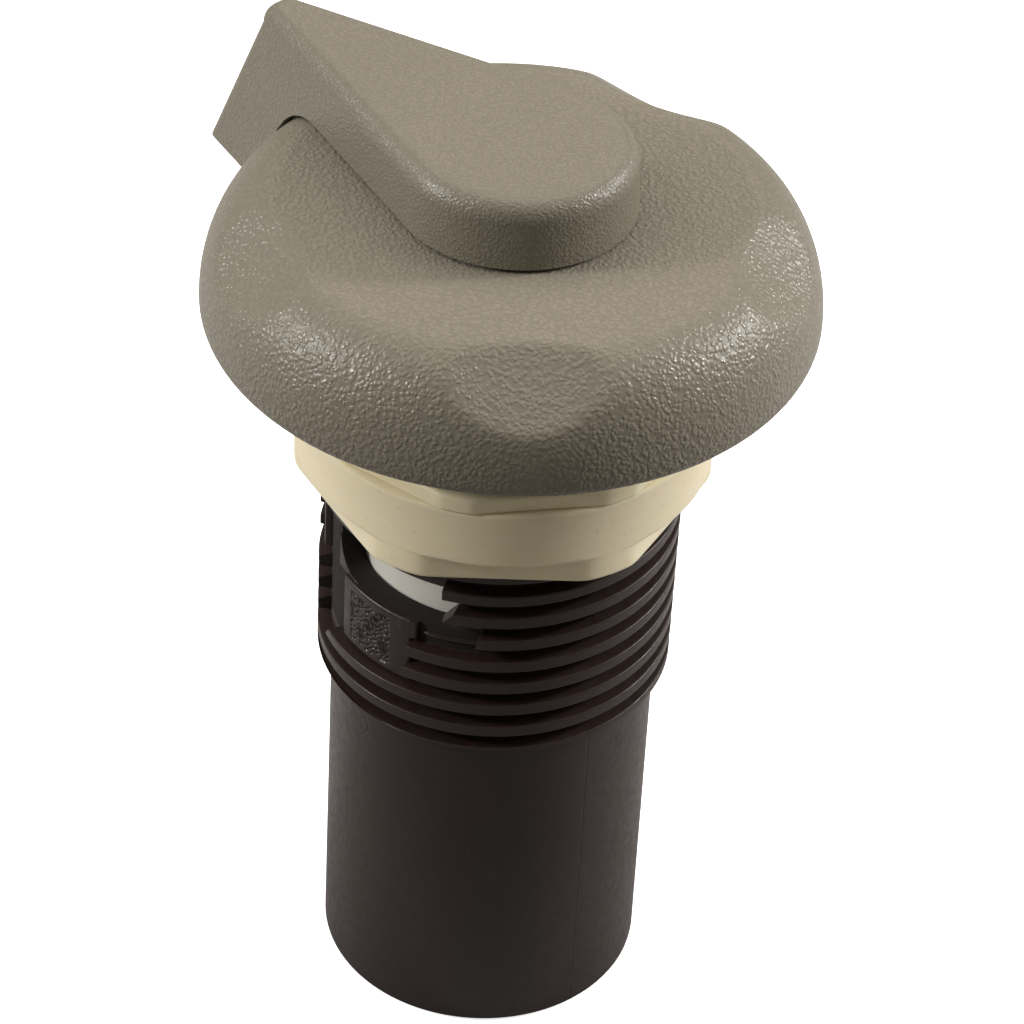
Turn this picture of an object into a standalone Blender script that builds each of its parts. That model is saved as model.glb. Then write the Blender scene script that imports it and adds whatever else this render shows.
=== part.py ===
"""Topside air control valve: a threaded barrel with a deck flange, a ported rotor turned by a
teardrop lever, a scalloped snap-on cap, and a mounting nut with its slip washer.

The origin is on the valve's axis, on the deck surface where the gasket seats. +Z points up, out
of the deck.
"""
import math

import bmesh
import bpy
from mathutils import Matrix, Vector

MM = 0.001

# Steps round a full turn: barrel and rotor, cap, and small round pieces
BARREL_STEPS = 36
CAP_STEPS = 50
SEAL_STEPS = 24
SMALL_STEPS = 20
MERGE = 1e-6

# Clearances: between pieces that touch, between running round pieces, beside a seal, and
# between the lever and the cap. Cutters reach past a face by the overshoot.
GAP = 0.3 * MM
RUN_GAP = 0.3 * MM
SEAL_GAP = 0.15 * MM
COVER_GAP = 0.5 * MM
OVERSHOOT = 1.0 * MM
SHARP_EDGE = math.radians(32.0)

# Barrel and spigot; the walls are counted in from the barrel's outside
BARREL_R = 21.1 * MM
CHAMBER_WALL = 2.8 * MM
PASSAGE_WALL = 5.9 * MM
SOCKET_WALL = 4.35 * MM
SOCKET_DEPTH = 28.0 * MM
TUBE_END_Z = -102.2 * MM
TUBE_DRAFT = 0.15 * MM
END_CHAMFER = 0.3 * MM

# Thread: a right-hand ridge, its height counted at the front of the valve
PITCH = 3.55 * MM
THREAD_DEPTH = 1.7 * MM
CREST_WIDTH = 1.5 * MM
FLANK_WIDTH = 0.4 * MM
THREAD_START_TURNS = -1.75
THREAD_END_Z = -51.9 * MM
THREAD_TOP_Z = -4.0 * MM
THREAD_FIT = 0.25 * MM
ROOT_SINK = 0.5 * MM

# Air window, the thread-free pad under it, and the plain block beside it. The nut has to pass
# over the pad and the block, so both stand lower than the thread's crest.
WINDOW_AZ = math.radians(232.5)
WINDOW_SILL_Z = -34.1 * MM
WINDOW_HEIGHT = 6.5 * MM
WINDOW_WIDTH = 16.1 * MM
PAD_AZ = (math.radians(211.0), math.radians(239.0))
PAD_PROUD = 0.8 * MM
PAD_HEIGHT = 9.8 * MM
PAD_CHANNEL = math.radians(4.0)
PAD_OVERLAP = math.radians(1.0)
PAD_STEPS = 6
BLOCK_AZ = (math.radians(176.0), math.radians(210.5))
BLOCK_HEIGHT = 3.0 * MM
BLOCK_STEPS = 4

# Flange, gasket and neck
GASKET_THICK = 2.0 * MM
GASKET_INSET = 0.5 * MM
GASKET_FIT = 0.5 * MM
FLANGE_WIDTH = 9.4 * MM
FLANGE_THICK = 3.0 * MM
SNAP_GROOVE_DEPTH = 0.8 * MM
SNAP_GROOVE_HEIGHT = 1.4 * MM
NECK_ABOVE_RING = 2.3 * MM

# Rotor
ROTOR_WALL = 2.8 * MM
ROTOR_ABOVE_FLANGE = 0.2 * MM
WEB_THICK = 3.2 * MM
SEAL_THICK = 1.5 * MM
SEAL_GROOVE_DEPTH = 1.65 * MM
SEAL_SPACING = 5.5 * MM
SEAL_TO_FLOOR = 5.4 * MM

# Thrust washer and retaining ring
THRUST_THICK = 1.0 * MM
THRUST_WIDTH = 5.0 * MM
RING_THICK = 1.1 * MM
RING_BITE = 1.0 * MM
RING_WIDTH = 2.1 * MM
RING_OPENING = math.radians(40.0)
LUG_R = 1.5 * MM
LUG_HOLE_R = 0.6 * MM

# Cap: the rim is a quarter of an ellipse round a flat top
CAP_TURN = math.radians(4.0)
RIM_SET_IN = 2.2 * MM
RIM_WIDTH = 9.5 * MM
RIM_HEIGHT = 13.5 * MM
LIP_Z = 0.5 * MM
LIP_INSET = 1.6 * MM
LIP_ROUND = 0.5 * MM
CAP_WALL = 2.4 * MM
COLLAR_WALL = 1.9 * MM
COLLAR_FIT = 0.4 * MM
HUB_COLLAR_DROP = 2.4 * MM
SNAP_BEAD = 0.75 * MM
SNAP_BEAD_HEIGHT = 0.9 * MM
RIB_THICK = 1.6 * MM
RIB_DROP = 1.8 * MM
RIB_ROOT = 0.6 * MM

# Scallops: scoops by cylinders that lean out over the rim
SCALLOPS = 5
SCOOP_R = 40.0 * MM
SCOOP_TOP_INSET = 0.7 * MM
SCOOP_LOW_INSET = 1.2 * MM
SCOOP_LOW_RISE = 6.6 * MM
SCOOP_LENGTH = 60.0 * MM
SCOOP_STEPS = 72

# Lever: a teardrop that widens downwards and ends beyond the cap's rim
LEVER_AZ = math.radians(137.5)
LEVER_STOPS = (math.radians(-2.6), math.radians(88.6))
LEVER_HEIGHT = 9.0 * MM
LEVER_FOOT_RISE = 0.3 * MM
LEVER_EDGE_HEIGHT = 2.8 * MM
LEVER_EDGE_INSET = 2.25 * MM
HEAD_R_TOP = 14.3 * MM
HEAD_FLARE = 1.2 * MM
ARM_REACH_TOP = 4.7 * MM
ARM_REACH_FOOT = 14.2 * MM
ARM_END_HALF = 2.4 * MM
ARM_CORNER_R = 1.6 * MM
ARM_INSET_SHARE = 0.45
LEVER_WALL = 2.2 * MM
HOLLOW_DRAFT = 0.4 * MM
LEVER_RIB_DROP = 2.4 * MM
STOP_PEG_R = 0.95 * MM
STOP_PEG_INSET = 0.5 * MM
STOP_DEPTH = 1.4 * MM

# Boss under the lever, the stem that it takes, and the seal round it
BOSS_R = 8.9 * MM
BOSS_FIT = 0.4 * MM
BOSS_WALL = 2.66 * MM
BOSS_ABOVE_ROTOR = 2.1 * MM
STEM_IN_HUB = 3.2 * MM
STEM_SEAL_THICK = 1.2 * MM
STEM_SEAL_RISE = 1.0 * MM

# Lever screw and its washer
SCREW_R = 1.7 * MM
SCREW_HEAD_R = 4.0 * MM
SCREW_HEAD_HEIGHT = 2.3 * MM
SCREW_HEAD_ROUND = 1.0 * MM
SCREW_POINT = 0.8 * MM
SCREW_TIP_COVER = 2.0 * MM
DRIVE_WIDTH = 0.9 * MM
DRIVE_DEPTH = 1.2 * MM
WASHER_R = 5.0 * MM
WASHER_THICK = 1.1 * MM

# Nut and slip washer; the turns count from the front of the valve
NUT_SIDES = 6
NUT_TURN = math.radians(2.0)
NUT_WALL = 3.3 * MM
NUT_FLAT_DEPTH = 2.0 * MM
NUT_BASE_Z = -22.7 * MM
NUT_HEIGHT = 11.4 * MM
FLATS_HEIGHT = 3.4 * MM
NUT_FIT = 0.2 * MM
SLIP_WIDTH = 3.1 * MM
SLIP_THICK = 2.3 * MM
SLIP_CHAMFER = 0.5 * MM
SLIP_FLAT_DEPTH = 1.3 * MM
SLIP_SIDES = 8
SLIP_TURN = math.radians(11.0)
SLIP_GAP = 0.1 * MM
SLIP_FIT = 0.4 * MM

# Radii that follow from the sizes above
CHAMBER_R = BARREL_R - CHAMBER_WALL
PASSAGE_R = BARREL_R - PASSAGE_WALL
SOCKET_R = BARREL_R - SOCKET_WALL
CREST_R = BARREL_R + THREAD_DEPTH
ROOT_WIDTH = CREST_WIDTH + 2 * FLANK_WIDTH
PAD_R = BARREL_R + PAD_PROUD
FLANGE_R = BARREL_R + FLANGE_WIDTH
GASKET_R = FLANGE_R - GASKET_INSET
GASKET_BORE_R = CREST_R + GASKET_FIT
ROTOR_R = CHAMBER_R - RUN_GAP
ROTOR_BORE_R = ROTOR_R - ROTOR_WALL
THRUST_BORE_R = ROTOR_R - THRUST_WIDTH
RING_R = CHAMBER_R + RING_BITE - GAP
RIM_CENTRE_R = FLANGE_R - RIM_SET_IN
CAP_R = RIM_CENTRE_R + RIM_WIDTH
SNAP_COLLAR_R = FLANGE_R + COLLAR_FIT
CAP_HOLE_R = BOSS_R + BOSS_FIT
STEM_FLATS = 2 * (BOSS_R - BOSS_WALL) * math.cos(math.pi / 6)
SCOOP_TOP_R = RIM_CENTRE_R - SCOOP_TOP_INSET
SCOOP_LOW_R = CAP_R - SCOOP_LOW_INSET
HEAD_R_FOOT = HEAD_R_TOP + HEAD_FLARE
ARM_END_TOP = CAP_R + ARM_REACH_TOP
ARM_END_FOOT = CAP_R + ARM_REACH_FOOT
STOP_PEG_AT = HEAD_R_TOP - LEVER_WALL - STOP_PEG_INSET
NUT_BORE_R = PAD_R + NUT_FIT
NUT_R = CREST_R + NUT_WALL
NUT_FLATS = 2 * (NUT_R - NUT_FLAT_DEPTH)
SLIP_BORE_R = CREST_R + SLIP_FIT
SLIP_R = SLIP_BORE_R + SLIP_WIDTH
SLIP_FLATS = 2 * (SLIP_R - SLIP_FLAT_DEPTH)

# Heights that follow from the sizes above
RIDGE_FRONT_Z = THREAD_END_Z + PITCH
THREAD_TURNS = (THREAD_TOP_Z - RIDGE_FRONT_Z) / PITCH - THREAD_START_TURNS
WINDOW_TOP_Z = WINDOW_SILL_Z + WINDOW_HEIGHT
CHAMBER_FLOOR_Z = WINDOW_SILL_Z - SEAL_SPACING - SEAL_TO_FLOOR
FLANGE_Z = GASKET_THICK + GAP
FLANGE_TOP_Z = FLANGE_Z + FLANGE_THICK
FLANGE_MID_Z = FLANGE_Z + FLANGE_THICK / 2
ROTOR_FOOT_Z = CHAMBER_FLOOR_Z + GAP
ROTOR_TOP_Z = FLANGE_TOP_Z + ROTOR_ABOVE_FLANGE
WEB_Z = ROTOR_TOP_Z - WEB_THICK
THRUST_Z = ROTOR_TOP_Z + GAP
RING_Z = THRUST_Z + THRUST_THICK + GAP
NECK_TOP_Z = RING_Z + RING_THICK + NECK_ABOVE_RING
RIM_Z = FLANGE_Z
CAP_TOP_Z = RIM_Z + RIM_HEIGHT
ROOF_Z = CAP_TOP_Z - CAP_WALL
HUB_COLLAR_Z = ROOF_Z - HUB_COLLAR_DROP
SCOOP_LOW_Z = RIM_Z + SCOOP_LOW_RISE
LEVER_TOP_Z = CAP_TOP_Z + LEVER_HEIGHT
LEVER_SIDE_TOP_Z = LEVER_TOP_Z - LEVER_EDGE_HEIGHT
LEVER_FOOT_Z = LIP_Z + LEVER_FOOT_RISE
LEVER_ROOF_Z = LEVER_TOP_Z - LEVER_WALL
BOSS_FOOT_Z = ROTOR_TOP_Z + BOSS_ABOVE_ROTOR
STEM_TOP_Z = HUB_COLLAR_Z + STEM_IN_HUB
STEM_SEAL_Z = HUB_COLLAR_Z + STEM_SEAL_RISE
SOCKET_TOP_Z = STEM_TOP_Z + GAP
WASHER_Z = WEB_Z - GAP - WASHER_THICK
SCREW_HEAD_Z = WASHER_Z - GAP - SCREW_HEAD_HEIGHT
SCREW_TIP_Z = LEVER_ROOF_Z - SCREW_TIP_COVER
NUT_TOP_Z = NUT_BASE_Z + NUT_HEIGHT
SLIP_Z = NUT_TOP_Z + SLIP_GAP


def clear_scene():
    for item in list(bpy.data.objects):
        bpy.data.objects.remove(item, do_unlink=True)


def new_collection(name):
    group = bpy.data.collections.new(name)
    bpy.context.scene.collection.children.link(group)
    return group


def new_material(name, colour, roughness, metallic=0.0):
    finish = bpy.data.materials.new(name)
    finish.use_nodes = True
    shader = finish.node_tree.nodes["Principled BSDF"]
    shader.inputs["Base Color"].default_value = (*colour, 1.0)
    shader.inputs["Roughness"].default_value = roughness
    shader.inputs["Metallic"].default_value = metallic
    return finish


def new_object(name, mesh, home, finish=None):
    piece = bpy.data.objects.new(name, mesh)
    home.objects.link(piece)
    if finish is not None:
        mesh.materials.append(finish)
        mesh.shade_smooth()
        mesh.set_sharp_from_angle(angle=SHARP_EDGE)
    return piece


def as_cutter(tool):
    tool.hide_render = True
    tool.display_type = "WIRE"
    return tool


def mesh_from_bmesh(name, shape):
    bmesh.ops.recalc_face_normals(shape, faces=shape.faces)
    mesh = bpy.data.meshes.new(name)
    shape.to_mesh(mesh)
    shape.free()
    return mesh


def turned(name, outline, steps, home, finish=None):
    """An outline of (radius, height) points, closed or ending on the axis, spun once about Z."""
    area = sum(
        r0 * z1 - r1 * z0 for (r0, z0), (r1, z1) in zip(outline, outline[1:] + outline[:1])
    )
    if area > 0:
        outline = outline[::-1]
    mesh = bpy.data.meshes.new(name)
    count = len(outline)
    edges = [
        (k, (k + 1) % count)
        for k in range(count)
        if outline[k][0] > 0 or outline[(k + 1) % count][0] > 0
    ]
    mesh.from_pydata([(r, 0.0, z) for r, z in outline], edges, [])
    piece = new_object(name, mesh, home, finish)
    spin = piece.modifiers.new("spin", "SCREW")
    spin.axis = "Z"
    spin.angle = math.tau
    spin.steps = steps
    spin.render_steps = steps
    spin.use_merge_vertices = True
    spin.merge_threshold = MERGE
    spin.use_smooth_shade = True
    return piece


def ring_outline(inner, outer, low, high):
    return [(outer, high), (outer, low), (inner, low), (inner, high)]


def prism(name, outline, low, high, home, finish=None):
    """A flat outline of (x, y) points, extruded from one height to another."""
    shape = bmesh.new()
    corners = [shape.verts.new((x, y, low)) for x, y in outline]
    face = shape.faces.new(corners)
    grown = bmesh.ops.extrude_face_region(shape, geom=[face])
    lifted = [item for item in grown["geom"] if isinstance(item, bmesh.types.BMVert)]
    bmesh.ops.translate(shape, verts=lifted, vec=(0.0, 0.0, high - low))
    return new_object(name, mesh_from_bmesh(name, shape), home, finish)


def loft(name, sections, home, finish=None):
    """Rings of equal count, joined by quads from the lowest to the highest and closed by end faces."""
    shape = bmesh.new()
    rings = [[shape.verts.new(point) for point in section] for section in sections]
    for low, high in zip(rings, rings[1:]):
        for k in range(len(low)):
            j = (k + 1) % len(low)
            shape.faces.new((low[k], low[j], high[j], high[k]))
    shape.faces.new(rings[0][::-1])
    shape.faces.new(rings[-1])
    return new_object(name, mesh_from_bmesh(name, shape), home, finish)


def arc(radius, start, end, steps, centre=(0.0, 0.0)):
    """Points on a circle, both ends included."""
    turn = (end - start) / steps
    return [
        (
            centre[0] + radius * math.cos(start + k * turn),
            centre[1] + radius * math.sin(start + k * turn),
        )
        for k in range(steps + 1)
    ]


def sector(inner, outer, start, end, steps):
    """The flat outline of a part of a ring."""
    return arc(outer, start, end, steps) + arc(inner, start, end, steps)[::-1]


def polygon(flats, sides, turn=0.0):
    """A regular outline by its distance across flats; one flat faces the turn angle."""
    corner = flats / 2 / math.cos(math.pi / sides)
    return [
        (
            corner * math.cos(turn + math.pi * (2 * k + 1) / sides),
            corner * math.sin(turn + math.pi * (2 * k + 1) / sides),
        )
        for k in range(sides)
    ]


def cylinder(name, radius, low, high, steps, home, finish=None, at=(0.0, 0.0)):
    shape = bmesh.new()
    place = Matrix.Translation((at[0], at[1], (low + high) / 2))
    bmesh.ops.create_cone(
        shape,
        cap_ends=True,
        segments=steps,
        radius1=radius,
        radius2=radius,
        depth=high - low,
        matrix=place,
    )
    return new_object(name, mesh_from_bmesh(name, shape), home, finish)


def box(name, low, high, home, turn=0.0):
    """A box between two corners, then turned about the valve's axis."""
    size = [b - a for a, b in zip(low, high)]
    middle = [(a + b) / 2 for a, b in zip(low, high)]
    shape = bmesh.new()
    bmesh.ops.create_cube(
        shape,
        size=1.0,
        matrix=Matrix.Rotation(turn, 4, "Z")
        @ Matrix.Translation(middle)
        @ Matrix.Diagonal((*size, 1.0)),
    )
    return new_object(name, mesh_from_bmesh(name, shape), home)


def seal_ring(name, middle_r, thick, height, home, finish):
    """A round cord section of eight points, spun about Z."""
    outline = arc(thick / 2, 0.0, math.tau * 7 / 8, 7, centre=(middle_r, height))
    return turned(name, outline, SEAL_STEPS, home, finish)


def boolean(target, tool, operation):
    """Adds one Boolean modifier; cutters and joined tools stay hidden beside the model."""
    as_cutter(tool)
    step = target.modifiers.new(tool.name, "BOOLEAN")
    step.operation = operation
    step.solver = "EXACT"
    step.object = tool
    return target


def cut(target, *tools):
    for tool in tools:
        boolean(target, tool, "DIFFERENCE")


def join(target, *tools):
    for tool in tools:
        boolean(target, tool, "UNION")


def pivot(name, home, turn=0.0, height=0.0):
    """An empty on the valve's axis that carries the pieces of one moving body."""
    empty = bpy.data.objects.new(name, None)
    empty.location = (0.0, 0.0, height)
    empty.rotation_euler = (0.0, 0.0, turn)
    home.objects.link(empty)
    return empty


def carry(empty, *pieces):
    for piece in pieces:
        piece.parent = empty


def helical_ridge(name, start_turns, turns, grow, inner_r, home):
    """A trapezoid carried along the thread's helix. Its middle is at RIDGE_FRONT_Z at the front
    and rises by one pitch a turn; grow widens it on every side. Its rings stand halfway between
    the edges of the wall's facets, so that no two edges meet."""
    count = round(turns * BARREL_STEPS)
    crest = CREST_WIDTH / 2 + grow
    root = ROOT_WIDTH / 2 + grow
    slope = (ROOT_WIDTH - CREST_WIDTH) / 2 / (CREST_R - BARREL_R)
    base = root + slope * (BARREL_R - inner_r)
    profile = [
        (inner_r, -base),
        (CREST_R + grow, -crest),
        (CREST_R + grow, crest),
        (inner_r, base),
    ]
    sections = []
    for k in range(count + 1):
        turned_by = start_turns + (k + 0.5) / BARREL_STEPS
        angle = turned_by * math.tau - math.pi / 2
        middle = RIDGE_FRONT_Z + turned_by * PITCH
        sections.append(
            [(r * math.cos(angle), r * math.sin(angle), middle + z) for r, z in profile]
        )
    return loft(name, sections, home)


def rim_point(slant, grow=0.0):
    """A point on the cap's rim ellipse, from the flat top (90 degrees) to the widest ring (0)."""
    return (
        RIM_CENTRE_R + (RIM_WIDTH + grow) * math.cos(slant),
        RIM_Z + (RIM_HEIGHT + grow) * math.sin(slant),
    )


def rim_arc(steps, grow=0.0, start=math.pi / 2, end=0.0):
    return [rim_point(start + (end - start) * k / steps, grow) for k in range(steps + 1)]


def scoops(name, wall, home):
    """Five leaning cylinders; wall makes them larger, for the inside of the cap's skin."""
    top = Vector((SCOOP_TOP_R, CAP_TOP_Z))
    low = Vector((SCOOP_LOW_R, SCOOP_LOW_Z))
    along = (low - top).normalized()
    outward = Vector((-along.y, along.x))
    middle = (top + low) / 2 + outward * SCOOP_R
    lean = math.atan2(along.x, along.y)
    tools = []
    for k in range(SCALLOPS):
        shape = bmesh.new()
        bmesh.ops.create_cone(
            shape,
            cap_ends=True,
            segments=SCOOP_STEPS,
            radius1=SCOOP_R + wall,
            radius2=SCOOP_R + wall,
            depth=SCOOP_LENGTH,
            matrix=Matrix.Rotation(k * math.tau / SCALLOPS - math.pi / 2, 4, "Z")
            @ Matrix.Translation((middle.x, 0.0, middle.y))
            @ Matrix.Rotation(lean, 4, "Y"),
        )
        label = f"{name}_{k + 1}"
        tools.append(new_object(label, mesh_from_bmesh(label, shape), home))
    return tools


def lever_section(height, inset=0.0):
    """The lever's teardrop outline at one height: the head's circle, two tangent sides and a short
    end with rounded corners. The head and the arm's end move out evenly towards the foot."""
    share = (LEVER_SIDE_TOP_Z - height) / (LEVER_SIDE_TOP_Z - LEVER_FOOT_Z)
    share = max(share, 0.0)
    head = HEAD_R_TOP + (HEAD_R_FOOT - HEAD_R_TOP) * share - inset
    end = ARM_END_TOP + (ARM_END_FOOT - ARM_END_TOP) * share - inset
    half = ARM_END_HALF - inset * ARM_INSET_SHARE
    corner = min(ARM_CORNER_R, half)
    centre = Vector((end - corner, half - corner))
    side = math.atan2(centre.y, centre.x) + math.acos((head - corner) / centre.length)
    head_arc = arc(head, side, math.tau - side, 22)
    low_corner = arc(corner, -side, 0.0, 4, centre=(centre.x, -centre.y))
    high_corner = arc(corner, 0.0, side, 4, centre=(centre.x, centre.y))
    return [(x, y, height) for x, y in head_arc + low_corner + high_corner]


def make_body(home, cutters, finish):
    """Spigot, threaded barrel, flange and neck as one turned piece, then thread, pad and window."""
    ring_low = RING_Z - GAP / 2
    ring_high = RING_Z + RING_THICK + GAP / 2
    half_groove = SNAP_GROOVE_HEIGHT / 2
    outline = [
        (BARREL_R, NECK_TOP_Z),
        (BARREL_R, FLANGE_TOP_Z),
        (FLANGE_R, FLANGE_TOP_Z),
        (FLANGE_R, FLANGE_MID_Z + half_groove),
        (FLANGE_R - SNAP_GROOVE_DEPTH, FLANGE_MID_Z),
        (FLANGE_R, FLANGE_MID_Z - half_groove),
        (FLANGE_R, FLANGE_Z),
        (BARREL_R, FLANGE_Z),
        (BARREL_R, THREAD_END_Z),
        (BARREL_R - TUBE_DRAFT, THREAD_END_Z - TUBE_DRAFT),
        (BARREL_R, TUBE_END_Z + END_CHAMFER),
        (BARREL_R - END_CHAMFER, TUBE_END_Z),
        (SOCKET_R + END_CHAMFER, TUBE_END_Z),
        (SOCKET_R, TUBE_END_Z + END_CHAMFER),
        (SOCKET_R, TUBE_END_Z + SOCKET_DEPTH),
        (PASSAGE_R, TUBE_END_Z + SOCKET_DEPTH),
        (PASSAGE_R, CHAMBER_FLOOR_Z),
        (CHAMBER_R, CHAMBER_FLOOR_Z),
        (CHAMBER_R, ring_low),
        (CHAMBER_R + RING_BITE, ring_low),
        (CHAMBER_R + RING_BITE, ring_high),
        (CHAMBER_R, ring_high),
        (CHAMBER_R, NECK_TOP_Z),
    ]
    body = turned("valve_body", outline, BARREL_STEPS, home, finish)

    thread = helical_ridge(
        "thread", THREAD_START_TURNS, THREAD_TURNS, 0.0, BARREL_R - ROOT_SINK, cutters
    )
    reach = CREST_R + OVERSHOOT
    thread_end = cylinder(
        "thread_end", reach, THREAD_END_Z - 2 * PITCH, THREAD_END_Z, BARREL_STEPS, cutters
    )
    pad_low = WINDOW_SILL_Z - PAD_HEIGHT
    thread_gap = prism(
        "thread_gap",
        sector(
            BARREL_R - 2 * ROOT_SINK,
            reach,
            PAD_AZ[0] - PAD_CHANNEL,
            PAD_AZ[1] - PAD_OVERLAP,
            PAD_STEPS,
        ),
        pad_low + GAP,
        WINDOW_SILL_Z + GAP,
        cutters,
    )
    cut(thread, thread_end, thread_gap)
    pad = prism(
        "pad",
        sector(BARREL_R - ROOT_SINK, PAD_R, *PAD_AZ, PAD_STEPS),
        pad_low,
        WINDOW_SILL_Z,
        cutters,
    )
    block = prism(
        "plain_block",
        sector(BARREL_R - ROOT_SINK, PAD_R, *BLOCK_AZ, BLOCK_STEPS),
        WINDOW_SILL_Z,
        WINDOW_SILL_Z + BLOCK_HEIGHT,
        cutters,
    )
    window = box(
        "window",
        (ROTOR_BORE_R, -WINDOW_WIDTH / 2, WINDOW_SILL_Z),
        (reach, WINDOW_WIDTH / 2, WINDOW_TOP_Z),
        cutters,
        WINDOW_AZ,
    )
    join(body, thread, pad, block)
    cut(body, window)
    return body


def make_cap(home, cutters, finish):
    """A scalloped shell with a snap collar for the flange, a hub collar, ribs and a stop slot."""
    outer = rim_arc(9) + [
        (CAP_R - LIP_ROUND, (RIM_Z + LIP_Z) / 2),
        (CAP_R - LIP_INSET, LIP_Z),
        (CAP_HOLE_R, LIP_Z),
        (CAP_HOLE_R, CAP_TOP_Z),
    ]
    cap = turned("escutcheon_cap", outer, CAP_STEPS, home, finish)
    cut(cap, *scoops("scoop", 0.0, cutters))

    below = LIP_Z - OVERSHOOT
    bead_half = SNAP_BEAD_HEIGHT / 2
    roof_slant = math.acos((SNAP_COLLAR_R - RIM_CENTRE_R) / (RIM_WIDTH - CAP_WALL))
    inner_room = turned(
        "inner_room",
        [
            (RIM_CENTRE_R, ROOF_Z),
            rim_point((roof_slant + math.pi / 2) / 2, -CAP_WALL),
            rim_point(roof_slant, -CAP_WALL),
            (SNAP_COLLAR_R, FLANGE_MID_Z + bead_half),
            (SNAP_COLLAR_R - SNAP_BEAD, FLANGE_MID_Z),
            (SNAP_COLLAR_R, FLANGE_MID_Z - bead_half),
            (SNAP_COLLAR_R, below),
            (CAP_HOLE_R - OVERSHOOT, below),
            (CAP_HOLE_R - OVERSHOOT, HUB_COLLAR_Z),
            (CAP_HOLE_R + COLLAR_WALL, HUB_COLLAR_Z),
            (CAP_HOLE_R + COLLAR_WALL, ROOF_Z),
        ],
        CAP_STEPS,
        cutters,
    )
    collar_outer = SNAP_COLLAR_R + COLLAR_WALL
    wall_slant = math.acos((collar_outer - RIM_CENTRE_R) / (RIM_WIDTH - CAP_WALL))
    outer_room = turned(
        "outer_room",
        rim_arc(5, -CAP_WALL, wall_slant, 0.0)
        + [(CAP_R - CAP_WALL, below), (collar_outer, below)],
        CAP_STEPS,
        cutters,
    )
    cut(inner_room, *scoops("inner_scoop", CAP_WALL, cutters))
    cut(outer_room, *scoops("outer_scoop", CAP_WALL, cutters))
    cut(cap, inner_room, outer_room)

    for k in range(SCALLOPS):
        rib = box(
            f"cap_rib_{k + 1}",
            (CAP_HOLE_R + COLLAR_WALL / 2, -RIB_THICK / 2, ROOF_Z - RIB_DROP),
            (SNAP_COLLAR_R + COLLAR_WALL / 2, RIB_THICK / 2, ROOF_Z + RIB_ROOT),
            cutters,
            math.pi / 2 + k * math.tau / SCALLOPS,
        )
        join(cap, rib)

    margin = math.asin((STOP_PEG_R + GAP) / STOP_PEG_AT)
    start = LEVER_AZ + math.pi - CAP_TURN + LEVER_STOPS[0] - margin
    end = LEVER_AZ + math.pi - CAP_TURN + LEVER_STOPS[1] + margin
    slot = prism(
        "stop_slot",
        sector(
            STOP_PEG_AT - STOP_PEG_R - GAP,
            STOP_PEG_AT + STOP_PEG_R + GAP,
            start,
            end,
            10,
        ),
        CAP_TOP_Z - STOP_DEPTH,
        CAP_TOP_Z + OVERSHOOT,
        cutters,
    )
    cut(cap, slot)
    return cap


def make_gasket(home, finish):
    outline = ring_outline(GASKET_BORE_R, GASKET_R, 0.0, GASKET_THICK)
    return turned("deck_gasket", outline, BARREL_STEPS, home, finish)


def make_thrust_washer(home, finish):
    outline = ring_outline(
        THRUST_BORE_R, CHAMBER_R - RUN_GAP, THRUST_Z, THRUST_Z + THRUST_THICK
    )
    return turned("thrust_washer", outline, BARREL_STEPS, home, finish)


def make_retaining_ring(home, cutters, finish):
    """An internal snap ring: an open ring with two eyes for the pliers."""
    half = RING_OPENING / 2
    inner = RING_R - RING_WIDTH
    ring = prism(
        "retaining_ring",
        sector(inner, RING_R, half, math.tau - half, 32),
        RING_Z,
        RING_Z + RING_THICK,
        home,
        finish,
    )
    for side in (1, -1):
        angle = side * (half + LUG_R / inner)
        spot = (inner * math.cos(angle), inner * math.sin(angle))
        label = "first" if side > 0 else "second"
        eye = cylinder(
            f"ring_eye_{label}", LUG_R, RING_Z, RING_Z + RING_THICK, 12, cutters, at=spot
        )
        hole = cylinder(
            f"ring_eye_hole_{label}",
            LUG_HOLE_R,
            RING_Z - OVERSHOOT,
            RING_Z + RING_THICK + OVERSHOOT,
            8,
            cutters,
            at=spot,
        )
        join(ring, eye)
        cut(ring, hole)
    return ring


def seal_heights():
    """The rotor's seals sit one spacing below the window's sill and above its top edge."""
    return (WINDOW_SILL_Z - SEAL_SPACING, WINDOW_TOP_Z + SEAL_SPACING)


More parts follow.
